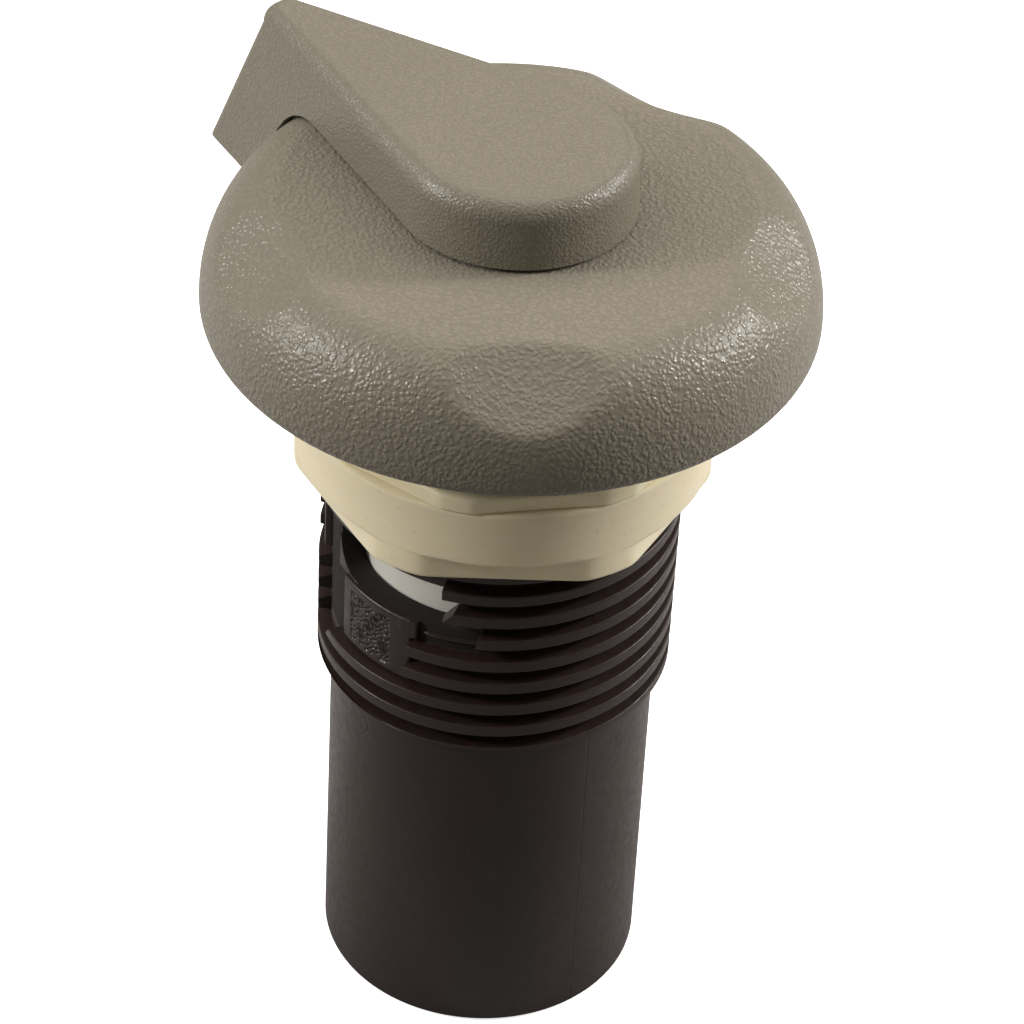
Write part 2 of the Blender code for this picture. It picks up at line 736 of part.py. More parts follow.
def make_rotor(home, cutters, finish):
    """A sleeve open at the foot, with two seal grooves, one port under the lever's arm, a closed
    web and a hexagonal stem."""
    half = SEAL_THICK / 2 + GAP
    groove_r = ROTOR_R - SEAL_GROOVE_DEPTH
    outline = [(ROTOR_R, ROTOR_TOP_Z)]
    for middle in reversed(seal_heights()):
        outline += [
            (ROTOR_R, middle + half),
            (groove_r, middle + half),
            (groove_r, middle - half),
            (ROTOR_R, middle - half),
        ]
    outline += [
        (ROTOR_R, ROTOR_FOOT_Z),
        (ROTOR_BORE_R, ROTOR_FOOT_Z),
        (ROTOR_BORE_R, WEB_Z),
        (SCREW_R / 2, WEB_Z),
        (SCREW_R / 2, ROTOR_TOP_Z),
    ]
    rotor = turned("rotor_sleeve", outline, BARREL_STEPS, home, finish)
    stem = prism(
        "rotor_stem", polygon(STEM_FLATS, 6), ROTOR_TOP_Z - WEB_THICK / 2, STEM_TOP_Z, cutters
    )
    screw_hole = cylinder(
        "stem_hole",
        SCREW_R + GAP,
        WEB_Z - OVERSHOOT,
        STEM_TOP_Z + OVERSHOOT,
        BARREL_STEPS,
        cutters,
    )
    port = box(
        "rotor_port",
        (ROTOR_BORE_R / 2, -WINDOW_WIDTH / 2, WINDOW_SILL_Z),
        (ROTOR_R + OVERSHOOT, WINDOW_WIDTH / 2, WINDOW_TOP_Z),
        cutters,
    )
    join(rotor, stem)
    cut(rotor, screw_hole, port)
    carried = [rotor, stem, screw_hole, port]
    return rotor, carried


def make_seals(home, finish):
    seals = []
    middle_r = CHAMBER_R - SEAL_GAP - SEAL_THICK / 2
    for label, height in zip(("lower", "upper"), seal_heights()):
        seals.append(
            seal_ring(f"rotor_o_ring_{label}", middle_r, SEAL_THICK, height, home, finish)
        )
    return seals


def make_stem_seal(home, finish):
    middle_r = CAP_HOLE_R - SEAL_GAP - STEM_SEAL_THICK / 2
    return seal_ring("stem_o_ring", middle_r, STEM_SEAL_THICK, STEM_SEAL_Z, home, finish)


def make_lever(home, cutters, finish):
    """A hollow teardrop whose lower edge follows the cap, with a boss, a rib and a stop peg."""
    heights = [LEVER_FOOT_Z, CAP_TOP_Z, LEVER_SIDE_TOP_Z]
    sections = [lever_section(z) for z in heights]
    for k in range(1, 5):
        slant = k * math.pi / 8
        sections.append(
            lever_section(
                LEVER_SIDE_TOP_Z + LEVER_EDGE_HEIGHT * math.sin(slant),
                LEVER_EDGE_INSET * (1 - math.cos(slant)),
            )
        )
    lever = loft("lever_handle", sections, home, finish)

    hollow = loft(
        "lever_hollow",
        [
            lever_section(LEVER_FOOT_Z - OVERSHOOT, LEVER_WALL),
            lever_section(LEVER_SIDE_TOP_Z, LEVER_WALL),
            lever_section(LEVER_ROOF_Z, LEVER_WALL + HOLLOW_DRAFT),
        ],
        cutters,
    )
    cover = turned(
        "cap_clearance",
        rim_arc(9, COVER_GAP)
        + [
            (CAP_R + COVER_GAP, LEVER_FOOT_Z - 2 * OVERSHOOT),
            (0.0, LEVER_FOOT_Z - 2 * OVERSHOOT),
            (0.0, CAP_TOP_Z + COVER_GAP),
        ],
        CAP_STEPS,
        cutters,
    )
    roof = LEVER_ROOF_Z + RIB_ROOT
    boss = cylinder("lever_boss", BOSS_R, BOSS_FOOT_Z, roof, BARREL_STEPS, cutters)
    rib = box(
        "lever_rib",
        (BOSS_R - OVERSHOOT, -RIB_THICK / 2, LEVER_ROOF_Z - LEVER_RIB_DROP),
        (ARM_END_TOP - LEVER_WALL, RIB_THICK / 2, roof),
        cutters,
    )
    peg = cylinder(
        "stop_peg",
        STOP_PEG_R,
        CAP_TOP_Z - STOP_DEPTH + GAP,
        roof,
        12,
        cutters,
        at=(-STOP_PEG_AT, 0.0),
    )
    socket = prism(
        "stem_socket",
        polygon(STEM_FLATS + 2 * GAP, 6),
        BOSS_FOOT_Z - OVERSHOOT,
        SOCKET_TOP_Z,
        cutters,
    )
    pilot = cylinder(
        "screw_pilot", SCREW_R + GAP, SOCKET_TOP_Z - OVERSHOOT, SCREW_TIP_Z + GAP, 12, cutters
    )
    half = STEM_SEAL_THICK / 2 + GAP
    seal_groove = turned(
        "stem_seal_groove",
        ring_outline(
            BOSS_R - STEM_SEAL_THICK,
            BOSS_R + OVERSHOOT,
            STEM_SEAL_Z - half,
            STEM_SEAL_Z + half,
        ),
        BARREL_STEPS,
        cutters,
    )
    cut(lever, hollow, cover)
    join(lever, boss, rib, peg)
    cut(lever, socket, pilot, seal_groove)
    carried = [lever, hollow, cover, boss, rib, peg, socket, pilot, seal_groove]
    return lever, carried


def make_screw(home, cutters, finish):
    """A pan head under the rotor's web, with a cross recess and a plain shank."""
    top = SCREW_HEAD_Z + SCREW_HEAD_HEIGHT
    outline = [
        (0.0, SCREW_TIP_Z),
        (SCREW_R - SCREW_POINT, SCREW_TIP_Z),
        (SCREW_R, SCREW_TIP_Z - SCREW_POINT),
        (SCREW_R, top),
        (SCREW_HEAD_R, top),
        (SCREW_HEAD_R, SCREW_HEAD_Z + SCREW_HEAD_ROUND),
        (SCREW_HEAD_R - SCREW_HEAD_ROUND, SCREW_HEAD_Z),
        (0.0, SCREW_HEAD_Z),
    ]
    screw = turned("lever_screw", outline, SMALL_STEPS, home, finish)
    arm = SCREW_HEAD_R / 2
    low = SCREW_HEAD_Z - OVERSHOOT
    high = SCREW_HEAD_Z + DRIVE_DEPTH
    for label, (x, y) in (("long", (arm, DRIVE_WIDTH / 2)), ("cross", (DRIVE_WIDTH / 2, arm))):
        cut(screw, box(f"screw_drive_{label}", (-x, -y, low), (x, y, high), cutters))
    return screw


def make_screw_washer(home, finish):
    outline = ring_outline(SCREW_R + GAP, WASHER_R, WASHER_Z, WASHER_Z + WASHER_THICK)
    return turned("screw_washer", outline, SMALL_STEPS, home, finish)


def make_slip_washer(home, cutters, finish):
    """A flat ring with eight shallow flats round its edge."""
    top = SLIP_Z + SLIP_THICK
    outline = [
        (SLIP_R - SLIP_CHAMFER, top),
        (SLIP_R, top - SLIP_CHAMFER),
        (SLIP_R, SLIP_Z),
        (SLIP_BORE_R, SLIP_Z),
        (SLIP_BORE_R, top),
    ]
    washer = turned("slip_washer", outline, BARREL_STEPS, home, finish)
    blank = prism(
        "slip_blank",
        polygon(SLIP_FLATS, SLIP_SIDES, SLIP_TURN - math.pi / 2),
        SLIP_Z - OVERSHOOT,
        top + OVERSHOOT,
        cutters,
    )
    return boolean(washer, blank, "INTERSECT")


def make_nut(home, cutters, finish):
    """A round nut with six flats round its foot and the barrel's thread inside."""
    mouth = CREST_R + THREAD_FIT
    chamfer = mouth - NUT_BORE_R
    outline = [
        (NUT_R, NUT_TOP_Z),
        (NUT_R, NUT_BASE_Z),
        (mouth, NUT_BASE_Z),
        (NUT_BORE_R, NUT_BASE_Z + chamfer),
        (NUT_BORE_R, NUT_TOP_Z - chamfer),
        (mouth, NUT_TOP_Z),
    ]
    nut = turned("mounting_nut", outline, BARREL_STEPS, home, finish)
    flats = []
    for k in range(NUT_SIDES):
        flats.append(
            box(
                f"nut_flat_{k + 1}",
                (NUT_FLATS / 2, -NUT_R, NUT_BASE_Z - OVERSHOOT),
                (NUT_R + OVERSHOOT, NUT_R, NUT_BASE_Z + FLATS_HEIGHT),
                cutters,
                k * math.tau / NUT_SIDES - math.pi / 2,
            )
        )
    cut(nut, *flats)
    start = math.floor((NUT_BASE_Z - RIDGE_FRONT_Z) / PITCH) - 1.0
    turns = math.ceil(NUT_HEIGHT / PITCH) + 2.0
    tap = helical_ridge("nut_tap", start, turns, THREAD_FIT, BARREL_R - ROOT_SINK, cutters)
    cut(nut, tap)
    return nut, [nut, *flats]


def build():
    clear_scene()
    model = new_collection("air_control_valve")
    cutters = new_collection("cutters")

    black = new_material("black_moulding", (0.022, 0.016, 0.014), 0.42)
    rubber = new_material("black_rubber", (0.012, 0.012, 0.012), 0.75)
    grey_cap = new_material("grey_cap_moulding", (0.205, 0.190, 0.160), 0.50)
    grey_lever = new_material("grey_lever_moulding", (0.215, 0.198, 0.168), 0.52)
    white = new_material("white_rotor_moulding", (0.780, 0.770, 0.730), 0.40)
    cream_nut = new_material("cream_nut_moulding", (0.700, 0.640, 0.500), 0.38)
    cream_ring = new_material("cream_washer_moulding", (0.720, 0.650, 0.500), 0.40)
    acetal = new_material("thrust_washer_moulding", (0.800, 0.800, 0.780), 0.35)
    spring_steel = new_material("retaining_ring_steel", (0.450, 0.450, 0.460), 0.35, 1.0)
    screw_steel = new_material("screw_steel", (0.600, 0.600, 0.610), 0.30, 1.0)

    make_body(model, cutters, black)
    make_gasket(model, rubber)
    make_thrust_washer(model, acetal)
    make_retaining_ring(model, cutters, spring_steel)

    cap_axis = pivot("cap_axis", model, CAP_TURN)
    known = set(cutters.objects)
    cap = make_cap(model, cutters, grey_cap)
    carry(cap_axis, cap, *[tool for tool in cutters.objects if tool not in known])

    lever_axis = pivot("lever_axis", model, LEVER_AZ)
    rotor, rotor_set = make_rotor(model, cutters, white)
    lever, lever_set = make_lever(model, cutters, grey_lever)
    carry(lever_axis, *rotor_set, *lever_set)
    carry(lever_axis, *make_seals(model, rubber))
    carry(lever_axis, make_stem_seal(model, rubber))
    known = set(cutters.objects)
    screw = make_screw(model, cutters, screw_steel)
    carry(lever_axis, screw, *[tool for tool in cutters.objects if tool not in known])
    carry(lever_axis, make_screw_washer(model, screw_steel))

    make_slip_washer(model, cutters, cream_ring)
    nut_axis = pivot("nut_axis", model, NUT_TURN)
    nut, nut_set = make_nut(model, cutters, cream_nut)
    carry(nut_axis, *nut_set)


build()
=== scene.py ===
import math

import bmesh
import bpy
import numpy as np
from mathutils import Matrix, Vector


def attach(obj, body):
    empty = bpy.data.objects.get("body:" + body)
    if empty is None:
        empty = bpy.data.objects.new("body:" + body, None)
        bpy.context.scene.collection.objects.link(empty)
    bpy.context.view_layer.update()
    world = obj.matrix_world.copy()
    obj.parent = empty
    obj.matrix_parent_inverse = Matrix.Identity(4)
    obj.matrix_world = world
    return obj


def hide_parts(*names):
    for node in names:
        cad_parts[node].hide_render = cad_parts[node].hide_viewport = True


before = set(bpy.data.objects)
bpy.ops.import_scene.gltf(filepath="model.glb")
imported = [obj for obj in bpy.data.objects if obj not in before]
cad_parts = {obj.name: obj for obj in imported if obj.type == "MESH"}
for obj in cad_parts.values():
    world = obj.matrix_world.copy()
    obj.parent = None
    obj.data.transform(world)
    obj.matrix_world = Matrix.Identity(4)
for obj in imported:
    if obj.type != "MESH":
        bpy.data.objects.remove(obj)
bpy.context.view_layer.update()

# Lengths are in millimetres up to the moment that a mesh is made
MM = 0.001
TAU = math.tau

# Barrel, tube and flange; what stands on the wall starts a little under it, at WALL_R
BARREL_R = 21.1
WALL_R = BARREL_R - 0.5
TUBE_END = -102.2
SOCKET_R = 16.75
SOCKET_DEPTH = 28.0
PASSAGE_R = 15.2
CHAMBER_R = 18.3
CHAMBER_FLOOR = -45.0
FLANGE_R = 30.5
FLANGE_LOW = 2.3
FLANGE_TOP = 5.3
FLANGE_MID = 3.8
NECK_TOP = 10.5
RING_GROOVE = (6.95, 8.35, 19.3)

# Thread: the ridge rises by one pitch a turn; heights are those at the front of the valve
PITCH = 3.55
CREST_R = 22.8
CREST_HALF = 0.75
ROOT_HALF = 1.15
RIDGE_FRONT = -48.7
THREAD_FROM = -1.75
THREAD_TO = 12.5
THREAD_END = -51.9

# Low rib under the sill: from and to in turns, height over the wall and place under the helix
RIB_FROM, RIB_TO = 4 - 26.5 / 360, 4 - 4.0 / 360
RIB_RISE, RIB_BELOW = 0.4, 0.95

# Window with its lower corners filled in, pad under it, groove and block beside it
WINDOW_AT = math.radians(231.5)
WINDOW_SILL = -34.1
WINDOW_TOP = -27.6
WINDOW_HALF = 10.0
WINDOW_CORNERS = {-1.0: 4.6, 1.0: 2.4}
PAD_FROM = math.radians(210.0)
PAD_TO = math.radians(242.5)
PAD_R = 21.9
PAD_LOW = -43.9
TAB_TO = math.radians(244.6)
TAB_LOW = -37.0
PATCH_AT = math.radians(224.5)
PATCH_MIDDLE = -39.1
PATCH_HALF = (3.75, 3.95)
GROOVE_FROM = 187.5
BLOCK_FROM = math.radians(176.0)
BLOCK_LOW = -36.5
BLOCK_TOP = -26.6
BLOCK_R = 22.05
BLOCK_TURNS = (4, 5, 6)

# Where each turn of the ridge starts again after the groove, in degrees, and how far its upper
# edge is set back there
RESUMES = {
    1: (202.0, 2.0),
    2: (240.2, 1.0),
    3: (240.9, 1.2),
    4: (265.5, 1.0),
    5: (255.5, 2.2),
    6: (253.5, 0.0),
}

# Marks of the mould on the tube: a line on two opposite sides, the ring left by a round pin, and
# a rough spot; each place is the turn about the axis and the height
PARTING_AT = math.radians(307.5)
PIN_MARK = (217.5, -56.7)
PIN_MARK_R = 2.05
ROUGH_SPOT = (325.0, -58.6)

# Cap: a quarter of an ellipse round a flat top, scooped five times, with a shallow slot that
# runs round its hole as far as the lever turns
CAP_TURN = math.radians(4.0)
CAP_TOP = 15.8
RIM_CENTRE = 28.3
RIM_WIDTH = 9.43
RIM_HEIGHT = 13.5
RIM_Z = 2.3
CAP_R = RIM_CENTRE + RIM_WIDTH
LIP_Z = 0.5
LIP_INSET = 1.6
CAP_WALL = 2.4
CAP_HOLE_R = 9.3
SLOT_IN, SLOT_OUT, SLOT_DEPTH = 10.35, 12.85, 1.4
SLOT_FROM = math.radians(-2.6) - 0.108
SLOT_TO = math.radians(88.6) + 0.108
COLLAR_IN = 30.9
COLLAR_OUT = 32.8
HUB_OUT = 11.2
HUB_LOW = 11.0
SCALLOPS = 5
SCOOP_R = 40.0
SCOOP_TOP = (27.6, 15.8)
SCOOP_LOW = (36.6, 8.9)

# Lever: a teardrop that widens downwards
LEVER_AT = math.radians(137.5)
LEVER_TOP = 24.8
LEVER_FOOT = 0.8
EDGE_HEIGHT = 2.8
EDGE_INSET = 2.25
HEAD_TOP = 14.3
HEAD_FOOT = 15.5
ARM_TOP = 42.5
ARM_FOOT = 51.99
ARM_HALF = 2.4
ARM_CORNER = 1.6
LEVER_WALL = 2.2
COVER_GAP = 0.5

# Nut and slip washer
NUT_AT = math.radians(-88.0)
NUT_R = 26.1
NUT_LOW = -22.7
NUT_TOP = -11.3
NUT_FLAT = 24.1
FLATS_TOP = -19.3
NUT_EDGE = ((0.45, 0.0), (0.35, 0.0), (0.10, 0.10), (0.0, 0.35))
NUT_BORE = 23.05
NUT_CREST = 22.1
SLIP_AT = math.radians(-79.0)
SLIP_R = 26.3
SLIP_FLAT = 25.0
SLIP_BORE = 23.2
SLIP_LOW = -11.2
SLIP_TOP = -8.9

# Rotor
ROTOR_R = 18.0
ROTOR_BORE = 15.2
PORT_HALF = 8.05
ROTOR_FOOT = -44.7
ROTOR_TOP = 5.5
WEB_LOW = 2.3
SCREW_HOLE_R = 2.0
STEM_HALF = 5.4
STEM_LOW = ROTOR_TOP - 1.6
STEM_TOP = 14.2
SEAL_ROWS = (-39.6, -22.1)

# Flat rings: inner and outer radius, lower and upper height, and rounding
GASKET = (23.3, 30.0, 0.0, 2.0, 0.25)
THRUST_RING = (13.0, 18.0, 5.8, 6.8, 0.15)
LEVER_HUB = (6.6, 8.9, 7.6, LEVER_TOP - 1.6, 0.2)
SCREW_SEAT = (SCREW_HOLE_R, 5.0, 0.9, 2.0, 0.1)

# Round cords: radius of the middle line and thickness, and the height of the boss's own
SLEEVE_SEAL = (17.4, 1.5)
BOSS_SEAL = (8.55, 1.2, 12.0)


def face_grid(rows, columns, around_rows=False, around_columns=True):
    """Four corners of every cell of a grid of numbered points; a direction that closes joins its
    last line to its first."""
    index = np.arange(rows * columns).reshape(rows, columns)
    if around_rows:
        index = np.vstack([index, index[:1]])
    if around_columns:
        index = np.hstack([index, index[:, :1]])
    corners = [index[:-1, :-1], index[1:, :-1], index[1:, 1:], index[:-1, 1:]]
    return np.stack(corners, axis=-1).reshape(-1, 4)


def stack_parts(parts):
    """Several (points, faces) pairs as one pair, each part's faces counted on from the last."""
    points = [part_points.reshape(-1, 3) for part_points, _ in parts]
    counts = np.cumsum([0] + [len(part) for part in points])
    return np.vstack(points), np.vstack([part[1] + count for part, count in zip(parts, counts)])


def add_object(name, data):
    """An object at the origin, put into the scene."""
    made = bpy.data.objects.new(name, data)
    bpy.context.scene.collection.objects.link(made)
    return made


def piece(name, shape, finish, sharp=35.0, marks={}):
    """A mesh object from (points, faces) in millimetres. Doubled points at seams and poles are
    merged and the faces turned outwards. Marks are named numbers per point."""
    points, faces = shape
    mesh = bpy.data.meshes.new(name)
    mesh.from_pydata((points.reshape(-1, 3) * MM).tolist(), [], faces.tolist())
    for label, values in marks.items():
        layer = mesh.attributes.new(label, "FLOAT", "POINT")
        layer.data.foreach_set("value", values.astype(np.float32))
    work = bmesh.new()
    work.from_mesh(mesh)
    bmesh.ops.remove_doubles(work, verts=work.verts, dist=2e-7)
    bmesh.ops.dissolve_degenerate(work, edges=work.edges, dist=1e-8)
    bmesh.ops.recalc_face_normals(work, faces=work.faces)
    work.to_mesh(mesh)
    work.free()
    mesh.materials.append(finish)
    mesh.shade_smooth()
    mesh.set_sharp_from_angle(angle=math.radians(sharp))
    return add_object(name, mesh)


def turned_by(points, angle):
    """Points turned about the valve's axis."""
    c, s = math.cos(angle), math.sin(angle)
    x, y, z = np.moveaxis(points, -1, 0)
    return np.stack([c * x - s * y, s * x + c * y, z], axis=-1)


def ring_points(radius, height, angles):
    """Cylinder coordinates as x, y and z; the three arrays are broadcast together."""
    radius, height, angles = np.broadcast_arrays(radius, height, angles)
    return np.stack([radius * np.cos(angles), radius * np.sin(angles), height], axis=-1)


def carried(rows, angles, turn=0.0):
    """A closed section of (radius, height) rows carried once round the axis and then turned; a
    radius may change with the angle."""
    points = np.stack([ring_points(radius, height, angles) for radius, height in rows])
    return turned_by(points, turn), face_grid(len(rows), len(angles), around_rows=True)


def rounded(rows, steps=5):
    """A closed outline of (radius, height, rounding) rows with each corner replaced by an arc that
    touches both sides. Next to an arc stands one more point, so that shading stays flat beyond
    it."""
    corners = np.array([row[:2] for row in rows], dtype=float)
    outline = []
    for k, here in enumerate(corners):
        back = corners[k - 1] - here
        ahead = corners[(k + 1) % len(corners)] - here
        reach = min(np.linalg.norm(back), np.linalg.norm(ahead)) * 0.45
        back = back / np.linalg.norm(back)
        ahead = ahead / np.linalg.norm(ahead)
        half = math.acos(float(np.clip(back @ ahead, -1.0, 1.0))) / 2
        cut = min(rows[k][2] / math.tan(half), reach)
        if cut < 1e-4 or half > 1.55:
            outline.append(here[None])
            continue
        radius = cut * math.tan(half)
        middle = here + (back + ahead) / np.linalg.norm(back + ahead) * radius / math.sin(half)
        first = here + back * cut - middle
        last = here + ahead * cut - middle
        share = np.linspace(0.0, 1.0, steps + 1)[:, None]
        opening = math.pi - 2 * half
        arc = (np.sin((1 - share) * opening) * first + np.sin(share * opening) * last)
        arc = arc / math.sin(opening) + middle
        guard = min(0.12, reach / 0.45 * 0.5 - cut)
        if guard > 0.02:
            arc = np.vstack([here + back * (cut + guard), arc, here + ahead * (cut + guard)])
        outline.append(arc)
    return np.vstack(outline)


def lathe(outline, steps=180):
    """A closed outline carried once round the axis."""
    angles = np.arange(steps) * TAU / steps
    points = ring_points(outline[:, :1], outline[:, 1:], angles[None])
    return points, face_grid(len(outline), steps, around_rows=True)


def washer(inner, outer, low, high, edge, steps=180):
    """A flat ring with rounded edges."""
    corners = ((inner, low), (outer, low), (outer, high), (inner, high))
    return lathe(rounded([(*corner, edge) for corner in corners], 4), steps)


def soft_above(value, softness):
    """The larger of the value and nought, with the corner between them rounded."""
    return (value + np.sqrt(value * value + softness * softness)) / 2


def smooth_step(value, low, high):
    """A rise from nought to one between two levels, flat at both ends: three times the square of
    the share of the way less twice its cube."""
    share = np.clip((value - low) / (high - low), 0.0, 1.0)
    return share * share * (3 - 2 * share)


def scoop_depth(radius, height, normal_r, normal_z, angles, grow, softness):
    """How far the cap's skin goes in, against its own normal, to reach the nearest of the five
    leaning cylinders: the root of the quadratic for a line meeting a cylinder."""
    top, low = np.array(SCOOP_TOP), np.array(SCOOP_LOW)
    along = (low - top) / np.linalg.norm(low - top)
    outward = np.array([-along[1], along[0]])
    middle = (top + low) / 2 + outward * SCOOP_R
    size = SCOOP_R + grow
    local = (angles + TAU / SCALLOPS / 2) % (TAU / SCALLOPS) - TAU / SCALLOPS / 2
    across = radius * np.sin(local)
    from_r = radius * np.cos(local) - middle[0]
    from_z = height - middle[1]
    run = from_r * along[0] + from_z * along[1]
    d_r = from_r - run * along[0]
    d_z = from_z - run * along[1]
    n_out = normal_r * np.cos(local)
    n_run = n_out * along[0] + normal_z * along[1]
    n_r = n_out - n_run * along[0]
    n_z = normal_z - n_run * along[1]
    n_y = normal_r * np.sin(local)
    a = n_r**2 + n_z**2 + n_y**2
    b = -(d_r * n_r + d_z * n_z + across * n_y)
    c = d_r**2 + d_z**2 + across**2 - size**2
    inside = b * b - a * c
    root = (-b + np.sqrt(np.maximum(inside, 0.0))) / np.maximum(a, 1e-9)
    root = np.where(inside > 0, root, -12.0)
    return soft_above(np.maximum(root, -12.0), softness)


def rim_curve(start, end, count, grow=0.0):
    """Points and outward normals of the rim's ellipse between two slants in degrees."""
    slants = np.radians(np.linspace(start, end, count))
    wide, tall = RIM_WIDTH + grow, RIM_HEIGHT + grow
    points = np.stack(
        [RIM_CENTRE + wide * np.cos(slants), RIM_Z + tall * np.sin(slants)], axis=-1
    )
    normals = np.stack([tall * np.cos(slants), wide * np.sin(slants)], axis=-1)
    return points, normals / np.linalg.norm(normals, axis=1)[:, None]


def level_line(radii, height):
    """Points at one height, whose normals point up."""
    points = np.stack([radii, np.full_like(radii, height)], axis=-1)
    return points, np.broadcast_to((0.0, 1.0), points.shape)


def still_line(points):
    """Points without normals, which the scoops leave where they are."""
    return np.array(points), np.zeros((len(points), 2))


def cap_shell():
    """The cap's whole section is one closed line: hole, top, rim, lip, outer room, collar with
    its bead, roof and hub collar. It is carried round the axis, and the outer and inner skins
    then go in by the depth of the scoops."""
    slants = np.radians(np.linspace(6.0, 90.0, 13))
    tuck_r = CAP_R - LIP_INSET * (1 - np.cos(slants))
    tuck_z = RIM_Z - (RIM_Z - LIP_Z) * np.sin(slants)
    lip = [(CAP_R - LIP_INSET - 0.3, LIP_Z), (CAP_R - CAP_WALL, LIP_Z + 0.3)]
    bead = ((0.0, -0.45), (0.6, -0.1), (0.6, 0.1), (0.0, 0.45))
    collar = [(COLLAR_OUT, 8.0), (COLLAR_OUT, LIP_Z + 0.3), (COLLAR_OUT - 0.3, LIP_Z)]
    collar += [(COLLAR_IN + 0.3, LIP_Z), (COLLAR_IN, LIP_Z + 0.3)]
    collar += [(COLLAR_IN - inward, FLANGE_MID + rise) for inward, rise in bead]
    collar += [(COLLAR_IN, 9.0)]
    hub = [
        (HUB_OUT, HUB_LOW),
        (CAP_HOLE_R, HUB_LOW),
        (CAP_HOLE_R, CAP_TOP - 0.4),
        (CAP_HOLE_R + 0.12, CAP_TOP - 0.12),
    ]
    room_end, roof_start = (
        math.degrees(math.acos((radius - RIM_CENTRE) / (RIM_WIDTH - CAP_WALL)))
        for radius in (COLLAR_OUT, COLLAR_IN)
    )
    flat = np.concatenate([[CAP_HOLE_R + 0.4, CAP_HOLE_R + 0.8], np.linspace(12.0, 28.0, 33)])
    outside = [
        level_line(flat, CAP_TOP),
        rim_curve(90.0, 0.0, 61),
        still_line(np.stack([tuck_r, tuck_z], axis=-1)),
        still_line(lip),
    ]
    within = [
        rim_curve(0.0, room_end, 21, -CAP_WALL),
        still_line(collar),
        rim_curve(roof_start, 90.0, 9, -CAP_WALL),
        level_line(np.linspace(28.0, HUB_OUT, 12), CAP_TOP - CAP_WALL),
        still_line(hub),
    ]
    outline, normals = (np.vstack(lines) for lines in zip(*outside, *within))
    is_outside = (np.arange(len(outline)) < sum(len(line) for line, _ in outside))[:, None]
    angles = (np.arange(420) * TAU / 420)[None]
    skin = (*np.hsplit(outline, 2), *np.hsplit(normals, 2))
    radius, height, normal_r, normal_z = skin
    from_scoop = angles + math.pi / 2
    outer_depth = scoop_depth(*skin, from_scoop, 0.0, 0.35) * smooth_step(height, 0.0, 5.0)
    depth = np.where(is_outside, outer_depth, scoop_depth(*skin, from_scoop, CAP_WALL, 0.3))
    points = ring_points(radius - depth * normal_r, height - depth * normal_z, angles)
    turn = (angles - (LEVER_AT + math.pi - CAP_TURN + SLOT_FROM)) % TAU
    in_slot = (turn < SLOT_TO - SLOT_FROM) & (radius > SLOT_IN) & (radius < SLOT_OUT)
    points[..., 2] -= np.where(in_slot & is_outside, SLOT_DEPTH, 0.0)
    faces = face_grid(len(outline), angles.shape[1], around_rows=True)
    return turned_by(points, CAP_TURN), faces


def lever_outline(height, inset=0.0):
    """The teardrop at given heights: the head's circle, two tangent sides, and an end with round
    corners. Heights and insets broadcast against the points along the outline."""
    height = np.reshape(np.asarray(height, dtype=float), (-1, 1))
    inset = np.broadcast_to(np.reshape(inset, (-1, 1)), height.shape)
    side_top = LEVER_TOP - EDGE_HEIGHT
    share = np.maximum((side_top - height) / (side_top - LEVER_FOOT), 0.0)
    head = HEAD_TOP + (HEAD_FOOT - HEAD_TOP) * share - inset
    end = ARM_TOP + (ARM_FOOT - ARM_TOP) * share - inset
    half = ARM_HALF - inset * 0.45
    corner = np.minimum(ARM_CORNER, half)
    middle_x, middle_y = end - corner, half - corner
    side = np.arctan2(middle_y, middle_x) + np.arccos(
        (head - corner) / np.hypot(middle_x, middle_y)
    )

    def arc(x, y, radius, turns):
        return x + radius * np.cos(turns), y + radius * np.sin(turns)

    def straight(start, stop):
        along = np.linspace(0, 1, 61)[None, 1:-1]
        return tuple(p + (q - p) * along for p, q in zip(start, stop))

    bend = np.linspace(0, 1, 9)[None]
    parts = [
        arc(0.0, 0.0, head, side + (TAU - 2 * side) * np.linspace(0, 1, 97)[None]),
        straight(arc(0.0, 0.0, head, -side), arc(middle_x, -middle_y, corner, -side)),
        arc(middle_x, -middle_y, corner, -side * (1 - bend[:, :-1])),
        arc(middle_x, middle_y, corner, side * bend),
        straight(arc(middle_x, middle_y, corner, side), arc(0.0, 0.0, head, side)),
    ]
    return tuple(np.hstack(part) for part in zip(*parts))


def lever_rings(height, inset):
    """The teardrop's points at given heights."""
    x, y = lever_outline(height, inset)
    return np.stack([x, y, np.broadcast_to(np.reshape(height, (-1, 1)), x.shape)], axis=-1)


def cover_height(radius, gap):
    """Height of the cap's clearance at a radius: flat over the top, then the grown ellipse."""
    share = np.clip((radius - RIM_CENTRE) / (RIM_WIDTH + gap), 0.0, 1.0)
    return RIM_Z + (RIM_HEIGHT + gap) * np.sqrt(1 - share * share)


def lower_edge(inset, gap):
    """For each point of the outline, the height at which the side wall, followed down from the
    top, meets the cap's clearance, or the foot where it passes outside the rim."""
    levels = np.linspace(LEVER_TOP - EDGE_HEIGHT, LEVER_FOOT, 900)
    x, y = lever_outline(levels, inset)
    radius = np.hypot(x, y)
    over = levels[:, None] - cover_height(radius, gap)
    clear = (over > 0) | (radius > CAP_R + gap)
    first = np.argmin(np.vstack([clear, np.zeros((1, clear.shape[1]), bool)]), axis=0)
    return levels[np.clip(first - 1, 0, len(levels) - 1)]


